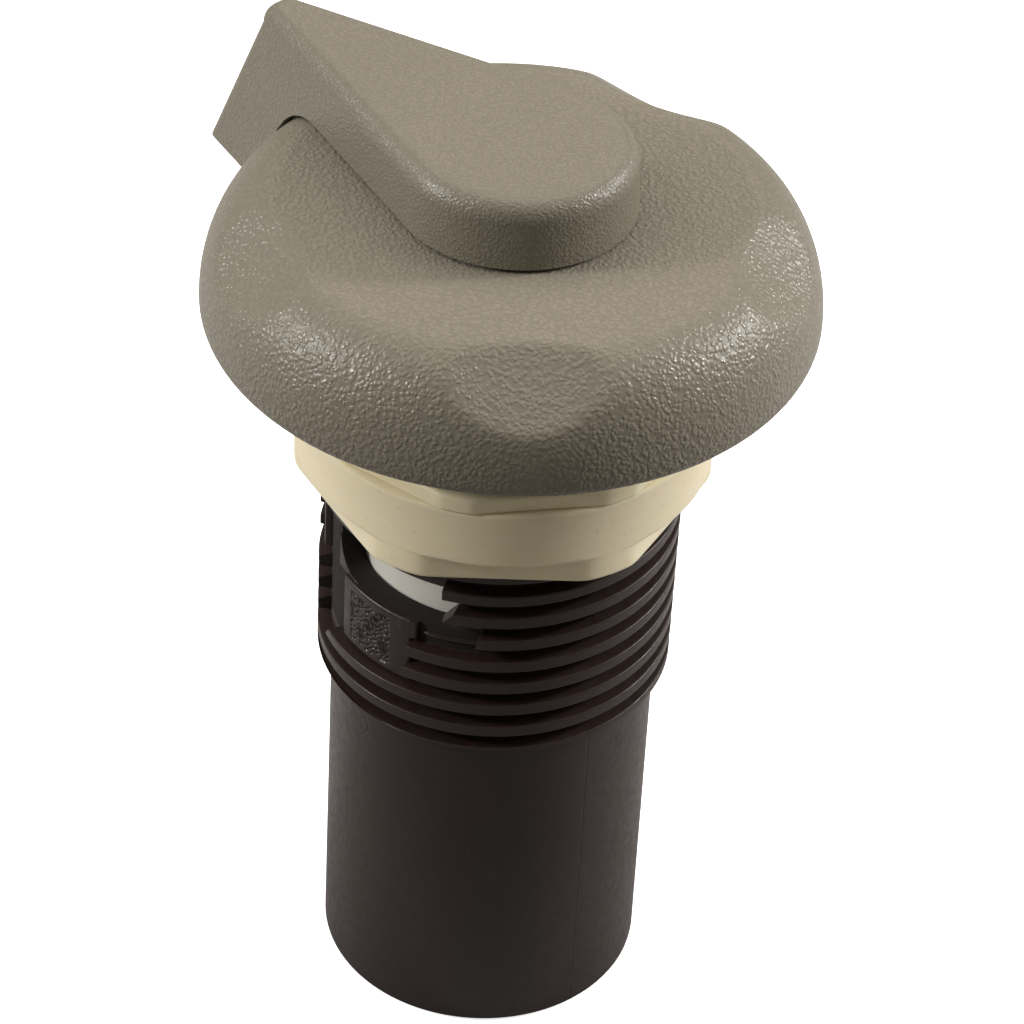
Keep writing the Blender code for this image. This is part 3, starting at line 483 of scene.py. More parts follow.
def wall_rows(inset, rows):
    """The side wall as rows between its lower edge and the start of the rounded edge."""
    top = LEVER_TOP - EDGE_HEIGHT
    bottom = lower_edge(inset, COVER_GAP)
    share = np.linspace(0.0, 1.0, rows) ** 0.8
    heights = bottom[None] + (top - bottom)[None] * share[:, None]
    levels = np.linspace(LEVER_FOOT, top, 200)
    place = (heights - LEVER_FOOT) / (top - LEVER_FOOT) * (len(levels) - 1)
    base = np.clip(place.astype(int), 0, len(levels) - 2)
    part = place - base
    columns = np.arange(len(bottom))[None]
    x, y = (
        line[base, columns] * (1 - part) + line[base + 1, columns] * part
        for line in lever_outline(levels, inset)
    )
    return np.stack([x, y, heights], axis=-1)


def toward_spine(ring, steps, rise):
    """Rows from an outline to the line along the lever's middle, which close its top or roof."""
    spine_x = np.clip(ring[:, 0], 0.0, ring[:, 0].max() - 2.0)
    spine = np.stack([spine_x, np.zeros(len(ring)), ring[:, 2] + rise], axis=-1)
    share = np.linspace(0.0, 1.0, steps + 1)[1:, None, None]
    flat = ring[None] + (spine - ring)[None] * share
    flat[..., 2] = ring[None, :, 2] + rise * (1 - (1 - share[..., 0]) ** 2)
    return flat


def lever_shell():
    """Outer wall, rounded edge and top, then the hollow's wall and roof, joined along the lower
    edge: rows of outlines, from the top's middle line out, down, in and up again."""
    slants = np.radians(np.linspace(0, 90, 13))
    edge_z = LEVER_TOP - EDGE_HEIGHT + EDGE_HEIGHT * np.sin(slants)
    edge = lever_rings(edge_z, EDGE_INSET * (1 - np.cos(slants)))
    top = toward_spine(edge[-1], 14, 0.12)
    top[..., 2] = np.minimum(top[..., 2], LEVER_TOP)
    outer, inner = wall_rows(0.0, 34), wall_rows(LEVER_WALL, 20)
    roof_ring = lever_rings([LEVER_TOP - LEVER_WALL], LEVER_WALL + 0.4)
    roof = toward_spine(roof_ring[0], 6, 0.0)
    rows = np.concatenate([top[::-1], edge[::-1][1:], outer[::-1][1:], inner, roof_ring, roof])
    return turned_by(rows, LEVER_AT), face_grid(*rows.shape[:2])


def insert_rows(line, radius, heights):
    """An outline with rows put into its upright wall at a radius, and the first one's number."""
    ahead = np.roll(line, -1, axis=0)
    upright = (np.abs(line[:, 0] - radius) < 1e-6) & (np.abs(ahead[:, 0] - radius) < 1e-6)
    spans = (np.minimum(line[:, 1], ahead[:, 1]) < heights.min()) & (
        np.maximum(line[:, 1], ahead[:, 1]) > heights.max()
    )
    at = int(np.argmax(upright & spans)) + 1
    added = np.stack([np.full_like(heights, radius), heights], axis=-1)
    return np.vstack([line[:at], added, line[at:]]), at


def pierced_tube(rows, outer_r, inner_r, centre, half, steps, cells=30, levels=6):
    """A rounded outline carried round the axis, with a window through both walls. The window's
    rows are put into the outline first. Its columns stand at equal distances across it on both
    walls, so that its sides are parallel."""
    outline = rounded(rows)
    heights = np.linspace(WINDOW_TOP, WINDOW_SILL, levels + 1)
    outline, outer_at = insert_rows(outline, outer_r, heights)
    outline, inner_at = insert_rows(outline, inner_r, heights[::-1])
    across = np.linspace(-half, half, cells + 1)

    def columns(radius):
        inside = np.arcsin(across / radius)
        rest = np.linspace(inside[-1], TAU + inside[0], steps + 1)[1:-1]
        return centre + np.concatenate([inside, rest])

    share = np.clip((outer_r - outline[:, :1]) / (outer_r - inner_r), 0.0, 1.0)
    angles = columns(outer_r)[None] * (1 - share) + columns(inner_r)[None] * share
    points = ring_points(outline[:, :1], outline[:, 1:], angles)
    count = points.shape[1]
    faces = face_grid(len(outline), count, around_rows=True)
    row, column = faces[:, 0] // count, faces[:, 0] % count
    in_rows = ((row >= outer_at) & (row < outer_at + levels)) | (
        (row >= inner_at) & (row < inner_at + levels)
    )
    faces = faces[~(in_rows & (column < cells))]
    outer_line = (outer_at + np.arange(levels + 1)) * count
    inner_line = (inner_at + levels - np.arange(levels + 1)) * count
    edges = [(outer_line + edge, inner_line + edge) for edge in (0, cells)]
    line = np.arange(cells + 1)
    edges += [(outer_line[end] + line, inner_line[end] + line) for end in (0, -1)]
    sides = [np.stack([a[:-1], a[1:], b[1:], b[:-1]], axis=-1) for a, b in edges]
    return points, np.vstack([faces, *sides])


def ridge(start, end, section, fades, low, high, steps=165, inner=WALL_R, lean=0.0):
    """A closed section of (radius, height) carried along the helix and capped at both ends. The
    middle climbs one pitch a turn. Over its fade, in turns, an end sinks into the wall, and with
    no fade it is cut square. The lean, in turns per millimetre, sets the first end's upper edge
    back from its lower one."""
    count = max(int((end - start) * steps), 8)
    turns = np.linspace(start, end, count)
    rise = np.ones(count)
    if fades[0] > 0:
        rise = rise * smooth_step(turns, start, start + fades[0])
    if fades[1] > 0:
        rise = rise * (1 - smooth_step(turns, end - fades[1], end))
    radius = inner + (section[:, 0][None] - inner) * rise[:, None]
    height = RIDGE_FRONT + turns[:, None] * PITCH + section[:, 1][None]
    height = np.clip(height, low, high)
    set_back = 1 - smooth_step(turns, start, start + 0.04)
    around = turns[:, None] + lean * set_back[:, None] * section[:, 1][None]
    points = ring_points(radius, height, around * TAU - math.pi / 2)
    last = len(section) - 1
    i = np.arange(len(section) // 2 - 1)
    first_cap = np.stack([i, i + 1, last - 1 - i, last - i], axis=-1)
    end_cap = first_cap[:, ::-1] + (count - 1) * len(section)
    return points, np.vstack([face_grid(count, len(section)), first_cap, end_cap])


def ridge_section(crest, root_r, crest_half, root_half, round_by, inner):
    """The thread's trapezoid with rounded crest corners, reaching under the wall it stands on."""
    slope = (root_half - crest_half) / abs(crest - root_r)
    base = root_half + slope * abs(root_r - inner)
    rising = [(inner, -base, 0.0), (crest, -crest_half, round_by)]
    return rounded(rising + [(crest, crest_half, round_by), (inner, base, 0.0)], 3)


def barrel_thread():
    """The ridge in as many lengths as the groove, the pad and the window leave of it, and a low
    rib where one turn passes along the sill."""
    section = ridge_section(CREST_R, BARREL_R, CREST_HALF, ROOT_HALF, 0.2, WALL_R)
    starts, ends = [(THREAD_FROM, 0.0)], []
    for turn, (degrees, lean) in RESUMES.items():
        stop = math.degrees(BLOCK_FROM) + 1.0 if turn in BLOCK_TURNS else GROOVE_FROM
        ends.append(turn + (stop - 270) / 360)
        starts.append((turn + (degrees - 270) / 360, lean / 360))
    ends.append(THREAD_TO)
    parts = []
    for k, ((start, lean), end) in enumerate(zip(starts, ends)):
        fades = (0.03 if k == 0 else 0.0, 0.03 if k == len(ends) - 1 else 0.0)
        parts.append(ridge(start, end, section, fades, THREAD_END, 0.0, lean=lean))
    rib = ridge_section(BARREL_R + RIB_RISE, BARREL_R, 0.15, 0.3, 0.08, WALL_R)
    rib[:, 1] -= RIB_BELOW
    parts.append(ridge(RIB_FROM, RIB_TO, rib, (0.01, 0.0), THREAD_END, 0.0))
    radii = [np.hypot(points[..., 0], points[..., 1]).ravel() for points, _ in parts]
    return parts, (np.concatenate(radii) - BARREL_R) / (CREST_R - BARREL_R)


def corner_fill(side):
    """A filled lower corner of the window: the sill turns up to the side wall in a quarter of a
    circle, carried through the wall between two upright planes."""
    size = WINDOW_CORNERS[side]
    inward = np.linspace(0.0, size, 17)
    rise = size - np.sqrt(size**2 - (size - inward) ** 2)
    across = side * (WINDOW_HALF - inward)
    outer, inner = BARREL_R + (0.35 if side < 0 else -0.01), CHAMBER_R + 0.01
    section = [(outer, 0.0), (outer - 0.12, 0.97), (outer - 0.3, 1.0)]
    section += [(inner, 1.0), (inner, 0.5), (inner, 0.0)]
    rows = []
    for radius, lift in section:
        height = WINDOW_SILL - 0.1 + (0.1 + rise) * lift
        rows.append(ring_points(radius, height, WINDOW_AT + np.arcsin(across / radius)))
    grid = face_grid(len(rows), len(inward), around_rows=True, around_columns=False)
    side_end = np.array([[0, 1, 4, 5], [1, 2, 3, 4]]) * len(inward)
    sill_end = side_end[:, ::-1] + len(inward) - 1
    return np.stack(rows), np.vstack([grid, side_end, sill_end])


def sector_block(outer, turns, heights, edge, columns, rows, relief=None):
    """A part of a ring as a closed pillow: its face is a grid whose rim bends back over the edge
    radius, and whose border then runs under the wall. Relief is a height over the face."""
    wide, tall = (turns[1] - turns[0]) * outer, heights[1] - heights[0]
    across, along = np.meshgrid(
        np.linspace(0, 1, columns + 1) * wide, np.linspace(0, 1, rows + 1) * tall
    )
    from_side = np.minimum(np.minimum(across, wide - across), np.minimum(along, tall - along))
    bend = np.clip(1 - from_side / edge, 0.0, 1.0)
    radius = outer - edge * (1 - np.sqrt(1 - bend * bend))
    angle, height = turns[0] + across / outer, heights[0] + along
    if relief is not None:
        radius = radius + relief(angle, height)
    points = np.stack([ring_points(radius, height, angle), ring_points(WALL_R, height, angle)])
    count = radius.size
    quads = face_grid(*radius.shape, around_columns=False)
    index = np.arange(count).reshape(radius.shape)
    border = np.concatenate([index[0, :-1], index[:-1, -1], index[-1, :0:-1], index[:0:-1, 0]])
    ahead = np.roll(border, -1)
    sides = np.stack([border, ahead, ahead + count, border + count], axis=-1)
    return points, np.vstack([quads, quads[:, ::-1] + count, sides])


def body_tube():
    """Neck, flange, barrel, tube end and bore as one outline with the window through the wall."""
    groove_low, groove_high, groove_r = RING_GROOVE
    shoulder = TUBE_END + SOCKET_DEPTH
    rows = [
        (BARREL_R, NECK_TOP, 0.3),
        (BARREL_R, FLANGE_TOP, 0.4),
        (FLANGE_R, FLANGE_TOP, 0.4),
        (FLANGE_R, FLANGE_MID + 0.7, 0.2),
        (FLANGE_R - 0.8, FLANGE_MID, 0.1),
        (FLANGE_R, FLANGE_MID - 0.7, 0.2),
        (FLANGE_R, FLANGE_LOW, 0.3),
        (BARREL_R, FLANGE_LOW, 0.3),
        (BARREL_R, THREAD_END, 0.0),
        (BARREL_R - 0.15, THREAD_END - 0.15, 0.0),
        (BARREL_R, TUBE_END, 0.45),
        (SOCKET_R, TUBE_END, 0.35),
        (SOCKET_R, shoulder, 0.2),
        (PASSAGE_R, shoulder, 0.3),
        (PASSAGE_R, CHAMBER_FLOOR, 0.3),
        (CHAMBER_R, CHAMBER_FLOOR, 0.2),
        (CHAMBER_R, groove_low, 0.1),
        (groove_r, groove_low, 0.05),
        (groove_r, groove_high, 0.05),
        (CHAMBER_R, groove_high, 0.1),
        (CHAMBER_R, NECK_TOP, 0.3),
    ]
    return pierced_tube(rows, BARREL_R, CHAMBER_R, WINDOW_AT, WINDOW_HALF, 220)


def many_sided(radius, flat, sides, angles):
    """A circle with flats: the smaller of the circle's radius and the flat's distance divided by
    the cosine of the angle from the flat's middle."""
    local = (angles + math.pi / sides) % (TAU / sides) - math.pi / sides
    return np.minimum(radius, flat / np.cos(local))


def sided_angles(sides, radius, flat, steps):
    """Angles round the axis with columns exactly where the flats run out into the circle."""
    crease = math.acos(min(flat / radius, 1.0))
    k = np.arange(sides) * TAU / sides
    marks = np.concatenate([k - crease, k + crease]) % TAU
    even = np.arange(steps) * TAU / steps
    near = np.abs((even[:, None] - marks[None] + math.pi) % TAU - math.pi).min(axis=1)
    return np.sort(np.concatenate([even[near > TAU / steps * 0.4], marks]))


def nut_shell():
    """The nut's section from its lower mouth round the outside to its upper mouth. The rows of
    the foot take the six-sided radius, whose flats run softly out into the circle, and the rows
    above the ledge the round one."""
    angles = sided_angles(6, NUT_R, NUT_FLAT, 240)
    foot = NUT_R - soft_above(NUT_R - many_sided(1e3, NUT_FLAT, 6, angles), 0.35)
    ledge = smooth_step(NUT_R - foot, 0.0, 0.6)
    rows = [
        (NUT_BORE + 0.1, NUT_LOW),
        *((foot - inward, NUT_LOW + rise) for inward, rise in (*NUT_EDGE, (0.0, 0.5))),
        (foot, FLATS_TOP - 0.45),
        (foot + 0.04 * ledge, FLATS_TOP - 0.25),
        (foot + 0.18 * ledge, FLATS_TOP - 0.08),
        (foot + (NUT_R - foot) * 0.30, FLATS_TOP),
        (foot + (NUT_R - foot) * 0.75, FLATS_TOP + 0.06),
        (NUT_R - 0.05 * ledge, FLATS_TOP + 0.16 + 0.14 * ledge),
        (NUT_R, FLATS_TOP + 0.32 + 0.2 * ledge),
        (NUT_R, FLATS_TOP + 0.6 + 0.2 * ledge),
        (NUT_R, NUT_TOP - 0.6),
        *((NUT_R - inward, NUT_TOP - drop) for inward, drop in NUT_EDGE[:0:-1]),
        (NUT_R - 0.50, NUT_TOP),
        (NUT_BORE + 0.1, NUT_TOP),
        (NUT_BORE, NUT_TOP - 0.15),
        (NUT_BORE, NUT_LOW + 0.15),
    ]
    wall_r = NUT_BORE + 0.5
    section = ridge_section(NUT_CREST, CREST_R, 0.55, 1.0, 0.12, wall_r)
    section[:, 1] += PITCH / 2
    first = (NUT_LOW + 1.2 - RIDGE_FRONT) / PITCH - 0.5
    last = (NUT_TOP - 1.2 - RIDGE_FRONT) / PITCH - 0.5
    inner = ridge(first, last, section, (0.06, 0.06), NUT_LOW + 0.2, NUT_TOP - 0.2, 200, wall_r)
    return stack_parts([carried(rows, angles, NUT_AT), inner])


def slip_ring():
    """A flat ring with eight shallow flats."""
    angles = sided_angles(8, SLIP_R, SLIP_FLAT, 240)
    edge = many_sided(SLIP_R, SLIP_FLAT, 8, angles)
    lower = ((0.30, 0.0), (0.18, 0.0), (0.05, 0.05), (0.0, 0.18), (0.0, 0.30))
    upper = ((0.0, 0.70), (0.0, 0.55), (0.10, 0.28), (0.28, 0.10), (0.55, 0.0), (0.75, 0.0))
    rows = [
        (SLIP_BORE + 0.15, SLIP_LOW),
        *((edge - inward, SLIP_LOW + rise) for inward, rise in lower),
        *((edge - inward, SLIP_TOP - drop) for inward, drop in upper),
        (SLIP_BORE + 0.15, SLIP_TOP),
        (SLIP_BORE, SLIP_TOP - 0.15),
        (SLIP_BORE, SLIP_LOW + 0.15),
    ]
    return carried(rows, angles, SLIP_AT)


def rotor_tube():
    """Sleeve with two seal grooves, a web over its top and one port under the lever's arm."""
    groove, half = ROTOR_R - 1.65, 1.05
    sides = ((ROTOR_R, half), (groove, half), (groove, -half), (ROTOR_R, -half))
    rows = [(ROTOR_R, ROTOR_TOP, 0.3)]
    for middle in reversed(SEAL_ROWS):
        rows += [(radius, middle + rise, 0.1) for radius, rise in sides]
    rows += [(ROTOR_R, ROTOR_FOOT, 0.3), (ROTOR_BORE, ROTOR_FOOT, 0.3), (ROTOR_BORE, WEB_LOW, 0.6)]
    rows += [(SCREW_HOLE_R, WEB_LOW, 0.15), (SCREW_HOLE_R, ROTOR_TOP, 0.15)]
    return pierced_tube(rows, ROTOR_R, ROTOR_BORE, LEVER_AT, PORT_HALF, 200)


def rotor_stem(edge=0.2):
    """A six-sided column with a round hole; the hole's wall and the sides are rows of one grid."""
    angles = np.arange(120) * TAU / 120
    side = many_sided(1e3, STEM_HALF, 6, angles)
    rows = [
        (SCREW_HOLE_R, STEM_LOW),
        (side - edge, STEM_LOW),
        (side, STEM_LOW + edge),
        (side, STEM_TOP - edge),
        (side - edge, STEM_TOP),
        (SCREW_HOLE_R + edge, STEM_TOP),
        (SCREW_HOLE_R, STEM_TOP - edge),
    ]
    return carried(rows, angles, LEVER_AT)


def torus(middle_r, thick, height):
    """A round cord closed into a ring."""
    slants = np.arange(20) * TAU / 20
    cord = [middle_r + thick / 2 * np.cos(slants), height + thick / 2 * np.sin(slants)]
    return lathe(np.stack(cord, axis=-1), 160)


# Finishes
def feed(tree, node, inputs):
    """Types numbers and triples into a node's inputs, and wires sockets to them."""
    for label, value in inputs.items():
        socket = node.inputs[label]
        if isinstance(value, bpy.types.NodeSocket):
            tree.links.new(value, socket)
        else:
            socket.default_value = (*value, 1.0) if socket.type == "RGBA" else value
    return node


def add_node(tree, kind, inputs={}, **settings):
    """A node with its settings and inputs; Blender's name for its kind starts with ShaderNode."""
    node = tree.nodes.new("ShaderNode" + kind)
    for name, value in settings.items():
        setattr(node, name, value)
    return feed(tree, node, inputs)


def calc(tree, operation, *values, clamp=False):
    """One Math node."""
    inputs = dict(enumerate(values))
    return add_node(tree, "Math", inputs, operation=operation, use_clamp=clamp).outputs[0]


def times(tree, first, second, clamp=False):
    """The product of two values."""
    return calc(tree, "MULTIPLY", first, second, clamp=clamp)


def summed(tree, start, *shares):
    """A start plus each value times its share."""
    for value, share in shares:
        start = calc(tree, "ADD", start, times(tree, value, share))
    return start


def ramp(tree, value, low, high, to_low=0.0, to_high=1.0):
    """A smooth step from one level to another."""
    inputs = dict(enumerate((value, low, high, to_low, to_high)))
    return add_node(tree, "MapRange", inputs, interpolation_type="SMOOTHSTEP").outputs[0]


def noise(tree, place, scale, detail=3.0, roughness=0.55, output="Fac"):
    """Slow or fine waves without a direction."""
    inputs = {"Vector": place, "Scale": scale, "Detail": detail, "Roughness": roughness}
    return add_node(tree, "TexNoise", inputs).outputs[output]


def nearest(tree, place, scale, **smooth):
    """The distance to the nearest of many scattered points; with a Smoothness, the cells round
    them run into each other."""
    feature = "SMOOTH_F1" if smooth else "F1"
    inputs = {"Vector": place, "Scale": scale, **smooth}
    return add_node(tree, "TexVoronoi", inputs, feature=feature).outputs["Distance"]


def stretched(tree, place, scale, turn=(0.0, 0.0, 0.0)):
    """The place turned and stretched, for marks that run one way."""
    inputs = {"Vector": place, "Rotation": turn, "Scale": scale}
    return add_node(tree, "Mapping", inputs).outputs[0]


def mixed(tree, share, first, second):
    """A colour between two."""
    inputs = {0: share, 6: first, 7: second}
    return add_node(tree, "Mix", inputs, data_type="RGBA").outputs[2]


def tinted(tree, base, *layers):
    """A base with colours laid over it, each by a mask times a share."""
    for mask, share, colour in layers:
        base = mixed(tree, times(tree, mask, share), base, colour)
    return base


def effect(name, inputs, outputs):
    """An empty node group with named inputs, a place or a number, and named number outputs."""
    group = bpy.data.node_groups.new(name, "ShaderNodeTree")
    for label, value in inputs.items():
        kind = "NodeSocketVector" if value is None else "NodeSocketFloat"
        socket = group.interface.new_socket(label, in_out="INPUT", socket_type=kind)
        if value is not None:
            socket.default_value = value
    for label in outputs:
        group.interface.new_socket(label, in_out="OUTPUT", socket_type="NodeSocketFloat")
    entry = group.nodes.new("NodeGroupInput").outputs[: len(inputs)]
    return group, entry, group.nodes.new("NodeGroupOutput")


def pebble_effect():
    """Leather grain: soft round mounds, each a smooth cell, among slow waves at about the same
    scale. The place is bent by noise first, so that no two mounds are alike."""
    group, (place, density, waves), leave = effect(
        "pebble_grain",
        {"Place": None, "Cells per metre": 1300.0, "Waves": 0.8},
        ("Height", "Valleys"),
    )
    warp = noise(group, place, 900.0, 1.0, 0.5, "Color")
    shift = add_node(group, "VectorMath", {0: warp, 3: 0.0007}, operation="SCALE").outputs[0]
    bent = add_node(group, "VectorMath", {0: place, 1: shift}, operation="ADD").outputs[0]
    mound = ramp(group, nearest(group, bent, density, Smoothness=0.45), 0.15, 0.72, 1.0, 0.0)
    height = summed(group, mound, (noise(group, bent, density, 1.0, 0.4), waves))
    feed(group, leave, {"Height": height, "Valleys": calc(group, "SUBTRACT", 1.0, mound)})
    return group


def mottle_effect():
    """Slow and fine unevenness of a moulded plastic, and specks; each runs from nought to one."""
    group, (place,), leave = effect("moulding_mottle", {"Place": None}, ("Slow", "Fine", "Specks"))
    slow, fine = noise(group, place, 38.0, 3.0), noise(group, place, 900.0, 4.0)
    specks = ramp(group, nearest(group, place, 420.0), 0.05, 0.16, 1.0, 0.0)
    outputs = {"Slow": ramp(group, slow, 0.3, 0.7), "Fine": ramp(group, fine, 0.3, 0.7)}
    feed(group, leave, {**outputs, "Specks": specks})
    return group


def scuff_effect():
    """Short rubbed scratches: stretched noise in two directions, cut at a high level."""
    group, (place, amount), leave = effect(
        "rubbed_scuffs", {"Place": None, "Amount": 0.3}, ("Scuffs",)
    )
    found = []
    for turn, stretch in ((0.5, (60.0, 900.0, 240.0)), (-0.7, (900.0, 80.0, 200.0))):
        lines = noise(group, stretched(group, place, stretch, (turn, 0.4, turn)), 1.0, 2.0)
        found.append(ramp(group, lines, 0.66, 0.76))
    patches = ramp(group, noise(group, place, 60.0, 2.0), 0.5, 0.7)
    kept = times(group, calc(group, "MAXIMUM", *found), patches)
    feed(group, leave, {"Scuffs": times(group, kept, amount, clamp=True)})
    return group


PEBBLES = pebble_effect()
MOTTLE = mottle_effect()
SCUFFS = scuff_effect()


def new_finish(name):
    """A material with its tree and the coordinates of the object that wears it."""
    finish = bpy.data.materials.new(name)
    finish.use_nodes = True
    return finish, finish.node_tree, add_node(finish.node_tree, "TexCoord").outputs


def placed(tree, group, place, inputs={}):
    """The outputs of an effect that is put into a material with its own values."""
    return add_node(tree, "Group", {"Place": place, **inputs}, node_tree=group).outputs


def dress(finish, base, gloss, height, depth, constants={}):
    """Gives the shader its colour, roughness and relief, and the numbers that are the same all
    over."""
    tree = finish.node_tree
    relief = add_node(tree, "Bump", {"Distance": depth, "Height": height}).outputs[0]
    inputs = {"Base Color": base, "Roughness": gloss, "Normal": relief, **constants}
    feed(tree, tree.nodes["Principled BSDF"], inputs)
    return finish


# How much rougher the faces that look straight up are
DULL_TOP = 0.5


def grained_plastic(name, colour, density, waves, depth, rough):
    """Grained grey moulding: painted shade in the grain's valleys, shinier tops, slow unevenness
    and a few dark specks.
    Faces that look straight up are rubbed dull."""
    finish, tree, where = new_finish(name)
    place = where["Object"]
    grain = placed(tree, PEBBLES, place, {"Cells per metre": density, "Waves": waves})
    mottle = placed(tree, MOTTLE, place)
    valley_shade_and_speck_colour = tuple(c * 0.70 for c in colour)
    base = mixed(tree, mottle["Slow"], colour, tuple(c * 1.06 for c in colour))
    # The grain's valleys get painted shade; the specks are the moulding's own dark flecks
    base = tinted(tree, base, (grain["Valleys"], 0.5, valley_shade_and_speck_colour), (mottle["Specks"], 0.22, valley_shade_and_speck_colour))
    upward = add_node(tree, "SeparateXYZ", {0: where["Normal"]}).outputs[2]
    dull = ramp(tree, upward, 0.955, 0.995, 0.0, DULL_TOP)
    gloss = summed(tree, rough, (grain["Valleys"], 0.14), (mottle["Fine"], 0.05), (dull, 1.0))
    height = summed(tree, grain["Height"], (noise(tree, place, 3600.0, 1.0, 0.5), 0.35))
    return dress(finish, base, gloss, height, depth, {"IOR": 1.5})


def distance_from(tree, place, mark):
    """How far a place is from a mark on the tube, in metres."""
    spot = (ring_points(BARREL_R, mark[1], math.radians(mark[0])) * MM).tolist()
    return add_node(tree, "VectorMath", {0: place, 1: spot}, operation="DISTANCE").outputs["Value"]


def thin_line(tree, offset, width):
    """One on a line and nought beyond its width, from the distance to it."""
    return ramp(tree, calc(tree, "ABSOLUTE", offset), 0.00003, width, 1.0, 0.0)


def tube_marks(tree, place, x, y, z):
    """The mould's line, where a plane through the axis cuts the tube, and the pin's ring, as one
    mask; and the rough spot as another."""
    plane = (x, math.sin(PARTING_AT)), (y, -math.cos(PARTING_AT))
    wave = (noise(tree, place, 500.0, 2.0), 0.0003)
    line = thin_line(tree, summed(tree, -0.00015, *plane, wave), 0.00012)
    below = ramp(tree, z, (THREAD_END - 2.0) * MM, (THREAD_END - 0.8) * MM, 1.0, 0.0)
    off_ring = calc(tree, "SUBTRACT", distance_from(tree, place, PIN_MARK), PIN_MARK_R * MM)
    ring = times(tree, thin_line(tree, off_ring, 0.00014), 0.8)
    near = ramp(tree, distance_from(tree, place, ROUGH_SPOT), 0.0008, 0.0026, 1.0, 0.0)
    rough = times(tree, near, ramp(tree, noise(tree, place, 1900.0, 2.0), 0.50, 0.62))
    return calc(tree, "MAXIMUM", times(tree, line, below), ring), rough


def between(tree, value, low, high, soft):
    """One between two levels and nought outside, over a soft edge."""
    rising = ramp(tree, value, low - soft, low + soft)
    return times(tree, rising, ramp(tree, value, high - soft, high + soft, 1.0, 0.0))


def recess_shade_and_dull(tree, x, y, z):
    """The floor of the upright groove, and the sill with the wall under it, where shade falls: two
    patches of the wall by turn, height and radius, that get painted shade and a rougher surface."""
    squares = calc(tree, "ADD", times(tree, x, x), times(tree, y, y))
    wall = ramp(tree, calc(tree, "SQRT", squares), 0.0212, 0.0214, 1.0, 0.0)
    turn = calc(tree, "ARCTAN2", y, x)
    patches = []
    for start, end, low, high, soft in (
        (187.0, 210.5, -0.0455, -0.0255, 0.0004),
        (202.0, 266.0, -0.0373, -0.0334, 0.0001),
    ):
        side = between(tree, turn, math.radians(start - 360), math.radians(end - 360), 0.01)
        patches.append(times(tree, side, between(tree, z, low, high, soft)))
    return times(tree, calc(tree, "MAXIMUM", *patches), wall)


def black_moulding():
    """Dark brown-black moulding: rubbed crests a little lighter, faint flow marks, scuffs, the
    marks of the mould, and painted shade with a rougher surface in the groove and on the sill."""
    finish, tree, where = new_finish("black_brown_moulding")
    place = where["Object"]
    x, y, z = add_node(tree, "SeparateXYZ", {0: place}).outputs
    mottle = placed(tree, MOTTLE, place)
    scuffs = placed(tree, SCUFFS, place, {"Amount": 0.5})[0]
    crest = add_node(tree, "Attribute", attribute_name="crest").outputs["Fac"]
    marks, rough = tube_marks(tree, place, x, y, z)
    # Painted shade, with a rougher surface, in the groove and on the sill where shade falls
    dull = recess_shade_and_dull(tree, x, y, z)
    base = tinted(
        tree,
        mixed(tree, mottle["Slow"], (0.0160, 0.0080, 0.0066), (0.0215, 0.0113, 0.0096)),
        (ramp(tree, crest, 0.75, 1.0), 0.35, (0.034, 0.022, 0.019)),
        (scuffs, 0.5, (0.08, 0.07, 0.065)),
        (marks, 0.85, (0.003, 0.002, 0.002)),
        # painted shade in the groove and on the sill
        (dull, 0.6, (0.004, 0.003, 0.003)),
    )
    gloss = summed(tree, 0.34, (mottle["Fine"], 0.10), (scuffs, 0.2), (dull, 0.45))
    streaks = noise(tree, stretched(tree, place, (1.0, 1.0, 0.12)), 260.0)
    height = summed(tree, streaks, (mottle["Fine"], 0.35), (marks, -3.0), (rough, 3.0))
    return dress(finish, base, gloss, height, 0.00002)


def pale_plastic(name, colour, warm, rough, depth, glow):
    """Cream or white moulding: slow warm cast, fine turning lines and light passing a little way
    into it."""
    finish, tree, where = new_finish(name)
    place = where["Object"]
    mottle = placed(tree, MOTTLE, place)
    scuffs = placed(tree, SCUFFS, place, {"Amount": 0.4})[0]
    grime = tuple(c * 0.72 for c in warm)
    base = tinted(tree, colour, (mottle["Slow"], 0.8, warm), (mottle["Specks"], 0.25, grime))
    gloss = summed(tree, rough, (mottle["Fine"], 0.10), (scuffs, 0.2))
    rings = noise(tree, stretched(tree, place, (0.08, 0.08, 1.0)), 2600.0, 2.0)
    height = summed(tree, rings, (mottle["Fine"], 0.5))
    light = {"Subsurface Weight": glow, "Subsurface Radius": (1.0, 0.72, 0.45)}
    return dress(finish, base, gloss, height, depth, {**light, "Subsurface Scale": 0.0015})


def rubber():
    """Black rubber with a little dust."""
    finish, tree, where = new_finish("seal_rubber")
    mottle = placed(tree, MOTTLE, where["Object"])
    base = mixed(tree, mottle["Slow"], (0.010, 0.010, 0.010), (0.018, 0.018, 0.017))
    base = tinted(tree, base, (mottle["Specks"], 0.3, (0.04, 0.04, 0.04)))
    gloss = ramp(tree, mottle["Fine"], 0.0, 1.0, 0.55, 0.75)
    return dress(finish, base, gloss, mottle["Fine"], 0.00002)


def metal(name, colour, rough):
    """Steel with fine turning marks and a slow change of sheen."""
    finish, tree, where = new_finish(name)
    mottle = placed(tree, MOTTLE, where["Object"])
    base = mixed(tree, mottle["Slow"], colour, tuple(c * 0.82 for c in colour))
    gloss = ramp(tree, mottle["Fine"], 0.0, 1.0, rough, rough + 0.15)
    marks = noise(tree, stretched(tree, where["Object"], (0.1, 0.1, 1.0)), 4000.0, 2.0)
    return dress(finish, base, gloss, marks, 0.00001, {"Metallic": 1.0})


